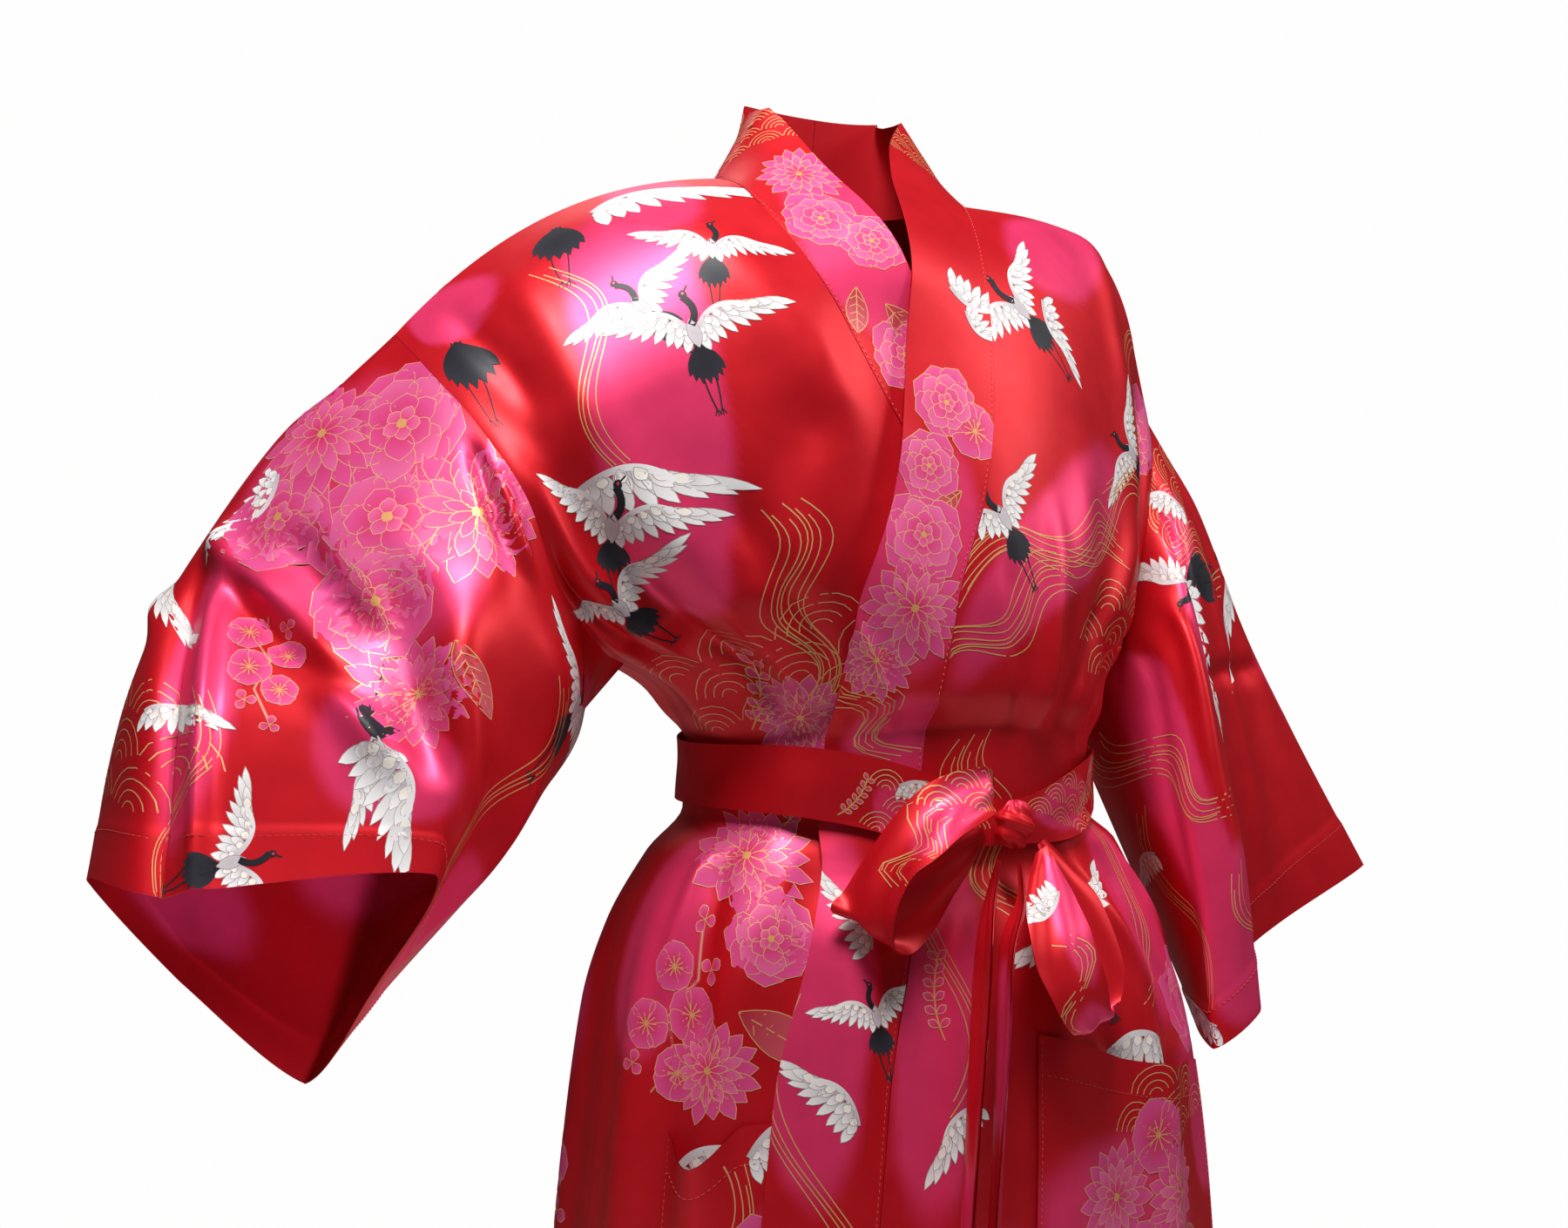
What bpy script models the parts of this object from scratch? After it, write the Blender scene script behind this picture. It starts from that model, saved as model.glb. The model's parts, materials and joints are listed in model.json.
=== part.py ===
"""A silk kimono robe, wrapped left over right and tied with its belt, in the form it takes when it is worn.

Metres, +Z up. The origin is level with the wearer's shoulders at the middle of the neck's base, the wearer faces -Y
and the wearer's right is -X. The right arm is akimbo and the left arm hangs, a little away from the body.

The cloth is one shape, form(), read by two numbers: v, the distance down the cloth from the shoulder seam, and
a, the way round one face of the body: -1 at the right side seam, 0 at the middle, 1 at the left side seam. In the
armhole's part of v, a = -1 and a = 1 are the armhole's edge. Every body piece is a range of a and v, so the pieces
meet at their seams, and what lies on a piece is the same shape, lifted.
"""

import math

import bpy
import numpy as np

# Driving dimensions
CLOTH = 0.0012
DOUBLE_CLOTH = 0.0016
SEAM = 0.0003
MITRE = 0.0016
HEM_V = 1.34
UNDERARM_V = 0.336
BAND_WIDTH = 0.070
BELT_WIDTH = 0.048
LAYER = 0.0065
LAP = 0.0023
BELT_LIFT = 0.0048
HALF_GIRTH = 0.30

# Cloth distances of the rows that the body pieces share: those down to the underarm are also the sleeve's seam
ARMHOLE_ROWS = (0, 0.02, 0.045, 0.075, 0.11, 0.15, 0.19, 0.23, 0.265, 0.295, 0.32, UNDERARM_V)
SKIRT_ROWS = (0.36, 0.385, 0.412, 0.437, 0.464, 0.49, 0.515, 0.545, 0.59, 0.66, 0.76, 0.88, 1.02, 1.18, HEM_V)
ROWS = np.array(ARMHOLE_ROWS + SKIRT_ROWS)
PANEL_COLUMNS = 16
NECK_SHARES = (0.0, 0.05, 0.20, 0.50, 0.80, 0.95, 1.0)
BAND_COLUMNS = 2

# The middle of the trunk. round is 1 where the cloth runs on into the sleeve, 0.5 where it turns to a side seam
TRUNK_COLUMNS = ("v", "z", "x", "front", "back", "round", "droop_right", "droop_left")
TRUNK = (
    (0.000, 0.002, 0.000, 0.020, 0.020, 1.00, 2.9, 8.5),
    (0.030, -0.008, 0.000, -0.022, 0.078, 1.00, 2.9, 8.0),
    (0.090, -0.052, 0.000, -0.078, 0.108, 1.00, 3.0, 6.0),
    (0.160, -0.116, 0.002, -0.112, 0.122, 0.95, 2.8, 4.0),
    (0.250, -0.204, 0.006, -0.138, 0.124, 0.75, 2.5, 2.6),
    (0.336, -0.290, 0.014, -0.151, 0.112, 0.55, 2.2, 2.2),
    (0.385, -0.342, 0.022, -0.148, 0.098, 0.52, 2.0, 2.0),
    (0.412, -0.370, 0.026, -0.138, 0.086, 0.48, 2.0, 2.0),
    (0.490, -0.450, 0.028, -0.138, 0.090, 0.48, 2.0, 2.0),
    (0.545, -0.505, 0.032, -0.160, 0.114, 0.48, 2.0, 2.0),
    (0.640, -0.600, 0.040, -0.178, 0.138, 0.48, 2.0, 2.0),
    (0.800, -0.760, 0.044, -0.187, 0.150, 0.50, 2.0, 2.0),
    (1.340, -1.300, 0.046, -0.208, 0.178, 0.50, 2.0, 2.0),
)

# The edges of the body pieces: the armhole's two edges down to the underarm, one side seam below it
SIDE_COLUMNS = ("v", "x", "z", "front", "back")
RIGHT_SIDE = (
    (0.000, -0.326, -0.128, 0.020, 0.020),
    (0.045, -0.316, -0.156, -0.022, 0.056),
    (0.090, -0.301, -0.184, -0.052, 0.078),
    (0.160, -0.276, -0.235, -0.082, 0.096),
    (0.230, -0.246, -0.292, -0.074, 0.082),
    (0.295, -0.206, -0.322, -0.040, 0.046),
    (0.336, -0.171, -0.332, 0.000, 0.000),
    (0.360, -0.147, -0.345, -0.004, -0.004),
    (0.385, -0.131, -0.364, -0.007, -0.007),
    (0.412, -0.121, -0.384, -0.010, -0.010),
    (0.465, -0.121, -0.430, -0.012, -0.012),
    (0.500, -0.148, -0.458, -0.012, -0.012),
    (0.545, -0.168, -0.505, -0.010, -0.010),
    (0.640, -0.183, -0.600, -0.010, -0.010),
    (0.800, -0.196, -0.760, -0.010, -0.010),
    (1.340, -0.222, -1.300, -0.010, -0.010),
)
LEFT_SIDE = (
    (0.000, 0.268, -0.138, 0.012, 0.012),
    (0.045, 0.264, -0.166, -0.004, 0.046),
    (0.090, 0.256, -0.192, -0.014, 0.070),
    (0.160, 0.244, -0.240, -0.022, 0.090),
    (0.230, 0.230, -0.292, -0.024, 0.080),
    (0.295, 0.208, -0.328, -0.018, 0.046),
    (0.336, 0.190, -0.344, 0.000, 0.000),
    (0.385, 0.180, -0.368, -0.010, -0.010),
    (0.412, 0.171, -0.388, -0.014, -0.014),
    (0.464, 0.171, -0.428, -0.014, -0.014),
    (0.490, 0.202, -0.450, -0.014, -0.014),
    (0.545, 0.230, -0.505, -0.012, -0.012),
    (0.640, 0.260, -0.600, -0.012, -0.012),
    (0.800, 0.286, -0.760, -0.012, -0.012),
    (1.340, 0.314, -1.300, -0.012, -0.012),
)

# Where the collar band's seam and its free edge cross each row, for the left front; the right front's under it
BAND_COLUMNS_X = ("v", "left_seam", "left_free", "right_seam", "right_free")
BAND = (
    (0.000, 0.092, 0.034, -0.099, -0.040),
    (0.045, 0.070, 0.010, -0.106, -0.042),
    (0.085, 0.056, -0.010, -0.096, -0.032),
    (0.130, 0.045, -0.022, -0.080, -0.016),
    (0.200, 0.032, -0.038, -0.048, 0.018),
    (0.260, 0.016, -0.052, -0.016, 0.052),
    (0.330, -0.010, -0.074, 0.018, 0.084),
    (0.412, -0.020, -0.077, 0.034, 0.096),
    (0.490, -0.026, -0.081, 0.042, 0.102),
    (0.545, -0.040, -0.098, 0.054, 0.116),
    (0.640, -0.060, -0.122, 0.074, 0.138),
    (1.340, -0.094, -0.158, 0.120, 0.184),
)

# The way the band stands from its seam round the neck, from the middle of the back to where it lies on the fronts
STAND_COLUMNS = ("way", "x", "y", "z")
STAND = (
    (-1.00, 0.00, -0.10, 0.99),
    (-0.40, 0.08, -0.04, 0.99),
    (-0.10, 0.46, 0.06, 0.88),
    (0.00, 0.56, 0.12, 0.82),
    (0.25, 0.76, 0.24, 0.58),
    (0.55, 0.84, 0.20, 0.44),
    (1.00, 0.86, -0.12, 0.48),
)

# The largest folds of the body, ridges out and troughs in, as lines on a face of the form
FOLD_COLUMNS = ("face", "a0", "v0", "a1", "v1", "half_width", "depth")
FOLDS = (
    ("front", 0.79, 0.05, 0.76, 0.34, 0.020, -0.013),
    ("front", 0.60, 0.12, 0.58, 0.33, 0.028, 0.009),
    ("front", 0.36, 0.22, 0.12, 0.42, 0.016, 0.005),
    ("front", -0.82, 0.10, -0.60, 0.40, 0.022, -0.007),
    ("front", -0.66, 0.16, -0.42, 0.41, 0.022, 0.006),
    ("front", -0.36, 0.06, -0.16, 0.24, 0.018, 0.006),
    ("back", -0.80, 0.08, -0.62, 0.36, 0.024, 0.009),
    ("back", -0.58, 0.12, -0.46, 0.38, 0.020, -0.006),
    ("back", 0.80, 0.08, 0.62, 0.36, 0.024, 0.009),
    ("back", 0.58, 0.12, 0.46, 0.38, 0.020, -0.006),
    ("back", -0.20, 0.06, 0.20, 0.16, 0.022, -0.004),
)

# Where the cloth that the belt gathers falls in flutes, which show a little in the blouse above it too
FLUTE_COLUMNS = ("face", "a", "depth")
FLUTES = (
    ("front", -0.86, 0.009),
    ("front", -0.62, 0.006),
    ("front", -0.36, 0.005),
    ("front", -0.19, 0.009),
    ("front", 0.06, 0.006),
    ("front", 0.34, 0.008),
    ("front", 0.62, 0.006),
    ("front", 0.84, 0.006),
    ("back", -0.84, 0.010),
    ("back", -0.62, 0.007),
    ("back", -0.42, 0.010),
    ("back", -0.22, 0.007),
    ("back", 0.00, 0.009),
    ("back", 0.20, 0.007),
    ("back", 0.40, 0.010),
    ("back", 0.62, 0.007),
    ("back", 0.84, 0.010),
)
FLUTE_WIDTH = 0.021
BLOUSE_SHARE = 0.6
BELT_TOP = 0.412
BELT_LOW = 0.490
NECK_DIP = 0.030
LAID_V = 0.13

SILK_ROUGHNESS = 0.4
SILK = {
    "back": (0.55, 0.01, 0.03),
    "front_right": (0.62, 0.01, 0.06),
    "front_left": (0.60, 0.01, 0.03),
    "sleeve_right": (0.60, 0.01, 0.05),
    "sleeve_left": (0.58, 0.01, 0.04),
    "pocket_right": (0.55, 0.02, 0.10),
    "pocket_left": (0.50, 0.02, 0.08),
    "collar_right": (0.58, 0.04, 0.12),
    "collar_left": (0.60, 0.04, 0.10),
    "belt": (0.62, 0.01, 0.04),
    "bow_loop_right": (0.60, 0.02, 0.08),
    "bow_loop_left": (0.56, 0.01, 0.05),
    "belt_tail_right": (0.48, 0.01, 0.03),
    "belt_tail_left": (0.60, 0.02, 0.08),
    "knot": (0.55, 0.01, 0.03),
}
RINGS = ("sleeve_right", "sleeve_left", "belt")


def column(names, rows, name, at):
    """One column of a table, read anywhere along its first column on a smooth curve that keeps between its rows."""
    x = np.array([row[0] for row in rows], float)
    y = np.array([row[names.index(name)] for row in rows], float)
    step = np.diff(x)
    rise = np.diff(y) / step
    slope = np.concatenate([rise[:1], np.zeros(len(x) - 2), rise[-1:]])
    same_way = rise[1:] * rise[:-1] > 0
    near, far = 2 * step[1:] + step[:-1], step[1:] + 2 * step[:-1]
    with np.errstate(divide="ignore", invalid="ignore"):
        mean = (near + far) / (near / rise[:-1] + far / rise[1:])
    slope[1:-1] = np.where(same_way, mean, 0)
    i = np.clip(np.searchsorted(x, at, side="right") - 1, 0, len(step) - 1)
    t = (np.asarray(at, float) - x[i]) / step[i]
    hold = 2 * t**3 - 3 * t**2 + 1
    return (
        hold * y[i]
        + (1 - hold) * y[i + 1]
        + (t**3 - 2 * t**2 + t) * step[i] * slope[i]
        + (t**3 - t**2) * step[i] * slope[i + 1]
    )


def ease(low, high, at):
    """0 up to low, 1 from high on, and a smooth rise between them."""
    t = np.clip((np.asarray(at, float) - low) / (high - low), 0, 1)
    return t * t * (3 - 2 * t)


def unit(vectors):
    return vectors / np.maximum(np.linalg.norm(vectors, axis=-1, keepdims=True), 1e-12)


def smooth_form(face, a, v):
    """The cloth without its folds, at a round the front or the back and v down it."""
    a, v = np.broadcast_arrays(np.asarray(a, float), np.asarray(v, float))
    reach = np.sin(a * math.pi / 2)
    right = reach < 0

    def trunk(name):
        return column(TRUNK_COLUMNS, TRUNK, name, v)

    def side(name):
        return np.where(right, column(SIDE_COLUMNS, RIGHT_SIDE, name, v), column(SIDE_COLUMNS, LEFT_SIDE, name, v))

    droop = np.where(right, trunk("droop_right"), trunk("droop_left"))
    x = trunk("x") + (side("x") - trunk("x")) * np.abs(reach)
    y = side(face) + (trunk(face) - side(face)) * np.maximum(1 - reach**2, 0) ** trunk("round")
    z = trunk("z") + (side("z") - trunk("z")) * np.abs(reach) ** droop
    return np.stack([x, y, z], -1)


def outward(face, a, v):
    """The cloth's outward normal, without its folds."""
    step_a, step_v = 0.01, 0.006
    inside_v = np.clip(v, step_v, HEM_V - step_v)
    inside_a = np.clip(a, -1 + step_a, 1 - step_a)
    across = smooth_form(face, inside_a + step_a, inside_v) - smooth_form(face, inside_a - step_a, inside_v)
    down = smooth_form(face, inside_a, inside_v + step_v) - smooth_form(face, inside_a, inside_v - step_v)
    normal = np.cross(down, across) if face == "back" else np.cross(across, down)
    return unit(-normal)


def relief(face, a, v):
    """How far the folds, pleats and gathers stand out of the smooth form."""
    total = np.zeros(np.shape(a))
    for where, a0, v0, a1, v1, width, depth in FOLDS:
        if where == face:
            run = np.array([(a1 - a0) * HALF_GIRTH, v1 - v0])
            way_a, way_v = (a - a0) * HALF_GIRTH, v - v0
            along = (way_a * run[0] + way_v * run[1]) / (run @ run)
            off = (way_a * run[1] - way_v * run[0]) / math.hypot(*run)
            fade = ease(-0.15, 0.25, along) * (1 - ease(0.75, 1.15, along))
            total += depth * fade * np.exp(-((off / width) ** 2))
    for number, (where, at, depth) in enumerate(FLUTES):
        if where == face:
            off = (a - at) * HALF_GIRTH / (FLUTE_WIDTH * (1 + 0.3 * math.sin(2.3 * number)))
            skirt = ease(BELT_LOW, 0.60, v) * (1 + 0.35 * ease(0.60, HEM_V, v))
            blouse = BLOUSE_SHARE * ease(0.20, 0.34, v) * (1 - ease(0.375, BELT_TOP, v))
            total += depth * (skirt + blouse) * np.exp(-(off**2))
    return total * (1 - ease(0.88, 1.0, np.abs(a)))


def form(face, a, v, lift=0.0, covered=0.0):
    """The worn cloth with its folds, lifted by lift, and plain and further in where another layer covers it."""
    a, v = np.broadcast_arrays(np.asarray(a, float), np.asarray(v, float))
    out = relief(face, a, v) * (1 - covered) - LAYER * covered + lift
    return smooth_form(face, a, v) + outward(face, a, v) * out[..., None]


def angle_of(x, v):
    """The a at which a row of the front has this x."""
    middle = column(TRUNK_COLUMNS, TRUNK, "x", v)
    side = np.where(
        x < middle, column(SIDE_COLUMNS, RIGHT_SIDE, "x", v), column(SIDE_COLUMNS, LEFT_SIDE, "x", v)
    )
    reach = np.clip((x - middle) / np.abs(side - middle), -1, 1)
    return np.arcsin(reach) * 2 / math.pi


def band_angle(edge, v):
    return angle_of(column(BAND_COLUMNS_X, BAND, edge, v), v)


def under_left(a, v):
    """1 where the left front covers the right front, and 0 beside it."""
    return ease(-0.16, 0.0, a - band_angle("left_free", v)) * ease(0.10, 0.16, v)


def grid(us, vs):
    return np.meshgrid(us, vs)


def moved_in(points, left=0.0, right=0.0, top=0.0, bottom=0.0):
    """The same piece with its edges moved in, to leave the gap of a seam."""
    points = points.copy()
    points[:, 0] += unit(points[:, 1] - points[:, 0]) * left
    points[:, -1] += unit(points[:, -2] - points[:, -1]) * right
    points[0] += unit(points[1] - points[0]) * top
    points[-1] += unit(points[-2] - points[-1]) * bottom
    return points


def front_panel(side):
    """The right or left front, from its side seam and armhole to its band seam."""
    start = -1 if side == "right" else 1
    share, v = grid(np.linspace(0, 1, PANEL_COLUMNS + 1), ROWS)
    a = start + (band_angle(side + "_seam", v) - start) * share
    points = form("front", a, v, covered=under_left(a, v) if side == "right" else 0.0)
    return moved_in(points, left=SEAM + MITRE, right=SEAM, top=SEAM + MITRE)


def neck_angles():
    return float(band_angle("right_seam", 0.0)), float(band_angle("left_seam", 0.0))


def back_columns():
    right, left = neck_angles()
    ends = np.linspace(0, 1, PANEL_COLUMNS + 1)
    neck = right + (left - right) * np.array(NECK_SHARES)
    return np.concatenate([-1 + (right + 1) * ends, neck[1:-1], (1 - (1 - left) * ends)[::-1]])


def neck_dip(a):
    """How far the back neck is cut below the line of the shoulder seams."""
    right, left = neck_angles()
    across = np.clip((a - right) / (left - right), 0, 1)
    return NECK_DIP * np.sin(across * math.pi) ** 0.35


def back_panel():
    a, v = grid(back_columns(), ROWS)
    v = v + neck_dip(a) * (1 - v / HEM_V) ** 6
    points = form("back", a, v)
    return moved_in(points, left=SEAM + MITRE, right=SEAM + MITRE, top=SEAM + MITRE)


def band_piece(side):
    """Half of the collar band, from the middle of the back neck over the shoulder and down a front to the hem."""
    sign = -1 if side == "right" else 1
    right, left = neck_angles()
    corner = right if side == "right" else left
    middle = (right + left) / 2
    half = np.array([share for share in NECK_SHARES if share >= 0.5])[:-1]
    round_neck = middle + (corner - middle) * (2 * half - 1)
    back_seam = form("back", round_neck, neck_dip(round_neck))
    seam_angle = band_angle(side + "_seam", ROWS)
    front_seam = form("front", seam_angle, ROWS, covered=under_left(seam_angle, ROWS) if side == "right" else 0.0)
    seam = np.concatenate([back_seam, front_seam])
    way = np.concatenate([2 * half - 2, np.clip(ROWS / LAID_V, 0, 1)])
    stand = unit(np.stack([column(STAND_COLUMNS, STAND, name, way) for name in "xyz"], -1))
    stand[:, 0] *= -sign
    across = np.linspace(0, 1, BAND_COLUMNS + 1)
    standing = seam[:, None] + stand[:, None] * (across[None, :, None] * BAND_WIDTH)
    a = band_angle(side + "_seam", ROWS)[:, None]
    a = a + (band_angle(side + "_free", ROWS)[:, None] - a) * across
    v = ROWS[:, None] + 0 * a
    laid = form("front", a, v, covered=under_left(a, v) if side == "right" else 0.0)
    share = ease(LAID_V * 0.55, LAID_V * 1.3, ROWS)[:, None, None]
    points = standing
    points[len(round_neck):] = standing[len(round_neck):] * (1 - share) + laid * share
    return moved_in(points, left=SEAM + DOUBLE_CLOTH / 2, top=SEAM)


# The sleeves: lines along each, from the armhole to the cuff, by their places round it. around runs from the top
# fold down the front to the seam at 0.5 and up the back
SLEEVE_STATIONS = (0.25, 0.5, 0.75, 1.0)
RIGHT_SLEEVE = {
    "top": (0.00, ((-0.374, 0.034, -0.182), (-0.432, 0.038, -0.272), (-0.476, -0.040, -0.362), (-0.492, -0.082, -0.460))),
    "front": (0.23, ((-0.306, -0.104, -0.286), (-0.336, -0.122, -0.335), (-0.342, -0.136, -0.390), (-0.352, -0.143, -0.447))),
    "inner": (0.37, ((-0.229, -0.062, -0.350), (-0.254, -0.072, -0.400), (-0.306, -0.094, -0.458), (-0.364, -0.075, -0.522))),
    "seam": (0.50, ((-0.208, 0.034, -0.392), (-0.272, 0.052, -0.468), (-0.330, 0.040, -0.538), (-0.375, 0.010, -0.592))),
    "low": (0.65, ((-0.290, 0.098, -0.318), (-0.370, 0.104, -0.412), (-0.424, 0.064, -0.486), (-0.450, 0.018, -0.526))),
    "back": (0.83, ((-0.350, 0.094, -0.214), (-0.428, 0.092, -0.300), (-0.484, 0.046, -0.378), (-0.508, 0.008, -0.462))),
}
LEFT_SLEEVE = {
    "top": (0.00, ((0.314, 0.010, -0.200), (0.362, 0.010, -0.284), (0.416, 0.000, -0.378), (0.487, -0.010, -0.487))),
    "ridge": (0.20, ((0.262, -0.050, -0.258), (0.284, -0.060, -0.345), (0.306, -0.062, -0.440), (0.326, -0.056, -0.537))),
    "front": (0.32, ((0.240, -0.068, -0.300), (0.244, -0.104, -0.380), (0.262, -0.120, -0.470), (0.276, -0.124, -0.570))),
    "inner": (0.42, ((0.218, -0.046, -0.342), (0.220, -0.078, -0.420), (0.230, -0.108, -0.510), (0.236, -0.124, -0.594))),
    "seam": (0.50, ((0.206, 0.010, -0.376), (0.236, -0.004, -0.448), (0.268, -0.020, -0.524), (0.296, -0.034, -0.592))),
    "back": (0.76, ((0.272, 0.086, -0.290), (0.322, 0.072, -0.364), (0.366, 0.054, -0.444), (0.404, 0.034, -0.522))),
}
SLEEVE_ROWS = 12
CRISP = 0.45


def armhole(side, around):
    """A point of the armhole's edge: around is 0 at its top, 0.5 at the underarm, and rises down the front."""
    start = -1.0 if side == "right" else 1.0
    around = np.asarray(around, float)
    down = UNDERARM_V * (1 - np.abs(2 * around - 1))
    front, back = form("front", start, down), form("back", start, down)
    return np.where((around <= 0.5)[..., None], front, back)


def round_curve(places, corners, around):
    """A closed curve through corners at their places round it, part smooth and part straight between them."""
    n = len(places)
    places = np.concatenate([places, [places[0] + 1, places[1] + 1]])
    corners = np.concatenate([corners, corners[:2]])
    before = np.concatenate([[places[n - 1] - 1], places])
    values = np.concatenate([corners[n - 1 : n], corners])
    slopes = (values[2:] - values[:-2]) / (before[2:] - before[:-2])[:, None]
    i = np.clip(np.searchsorted(places[: n + 1], around, side="right") - 1, 0, n - 1)
    step = (places[i + 1] - places[i])[:, None]
    t = (around - places[i])[:, None] / step
    straight = corners[i] * (1 - t) + corners[i + 1] * t
    hold = 2 * t**3 - 3 * t**2 + 1
    slope_a, slope_b = slopes[i % n], slopes[(i + 1) % n]
    smooth = (
        hold * corners[i]
        + (1 - hold) * corners[i + 1]
        + (t**3 - 2 * t**2 + t) * step * slope_a
        + (t**3 - t**2) * step * slope_b
    )
    return smooth, straight


def sleeve_ring(side, along, around):
    """A ring of a sleeve, along it from 0 at the armhole to 1 at the cuff."""
    lines = RIGHT_SLEEVE if side == "right" else LEFT_SLEEVE
    places = np.array([place for place, _ in lines.values()])
    start = armhole(side, places)
    corners = []
    for number, (_, path) in enumerate(lines.values()):
        stations = [(0.0, *start[number])] + [(at, *point) for at, point in zip(SLEEVE_STATIONS, path)]
        corners.append([column(("at", "x", "y", "z"), stations, name, along) for name in "xyz"])
    smooth, straight = round_curve(places, np.array(corners), around)
    crisp = CRISP * ease(0.3, 1.0, along)
    ring = smooth * (1 - crisp) + straight * crisp
    sewn = 1 - ease(0.0, 0.3, along)
    fitted_smooth, _ = round_curve(places, start, around)
    return ring + (armhole(side, around) - fitted_smooth) * sewn


def sleeve(side):
    half = np.array(ARMHOLE_ROWS) / UNDERARM_V / 2
    around = np.concatenate([half, 1 - half[-2:0:-1]])
    rings = [sleeve_ring(side, along, around) for along in np.linspace(0, 1, SLEEVE_ROWS)]
    return moved_in(np.array(rings), top=SEAM + MITRE)


# The belt's middle line lies at BELT_V, and dips to the knot, where the belt is drawn in
BELT_V = 0.434
KNOT_A = 0.06
BELT_DIP = 0.034
DIP_SPREAD = 0.45
DRAWN_IN = 0.40
DRAWN_SPREAD = 0.20


def belt_middle(face, a):
    dip = BELT_DIP * np.exp(-(((a - KNOT_A) / DIP_SPREAD) ** 2)) if face == "front" else 0 * a
    return BELT_V + dip


def belt_ring():
    across = np.linspace(-0.5, 0.5, 3) * BELT_WIDTH
    around = np.linspace(-1, 1, 17)
    strips = []
    for face, angles in (("front", around), ("back", around[::-1][1:-1])):
        a, offset = np.meshgrid(angles, across)
        if face == "front":
            offset = offset * (1 - DRAWN_IN * np.exp(-(((a - KNOT_A) / DRAWN_SPREAD) ** 2)))
        strips.append(form(face, a, belt_middle(face, a) + offset, BELT_LIFT))
    return np.concatenate(strips, axis=1)


# The pockets: their edges in columns of their front, from its side seam, the v of their mouths at both edges, how
# far the mouths gape and sag, and the share of a mouth that gapes
POCKET_COLUMNS = ("outer", "inner", "outer_mouth", "inner_mouth", "gape", "sag", "open")
POCKETS = {
    "right": (3.7, 10.3, 0.662, 0.640, 0.014, 0.022, 0.36),
    "left": (5.0, 12.4, 0.642, 0.600, 0.009, 0.008, 1.00),
}
POCKET_DEPTH = 0.17
POCKET_ROWS = 8


def pocket(side):
    """A patch pocket, from its front's own columns, moved out."""
    outer, inner, outer_mouth, inner_mouth, gape, sag, opened = POCKETS[side]
    start = -1 if side == "right" else 1
    inside = np.arange(math.ceil(outer), math.floor(inner) + 1, dtype=float)
    place, down = grid(np.union1d(inside, [outer, inner]), np.linspace(0, 1, POCKET_ROWS + 1))
    share = (place - outer) / (inner - outer)
    slack = np.sin(np.clip(share / opened, 0, 1) * math.pi) ** 1.5 * (1 - down) ** 2
    v = outer_mouth + (inner_mouth - outer_mouth) * share + POCKET_DEPTH * down
    a = start + (band_angle(side + "_seam", v) - start) * place / PANEL_COLUMNS
    covered = under_left(a, v) if side == "right" else 0.0
    return form("front", a, v + sag * slack, LAP + gape * slack * (1 - covered), covered)


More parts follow.
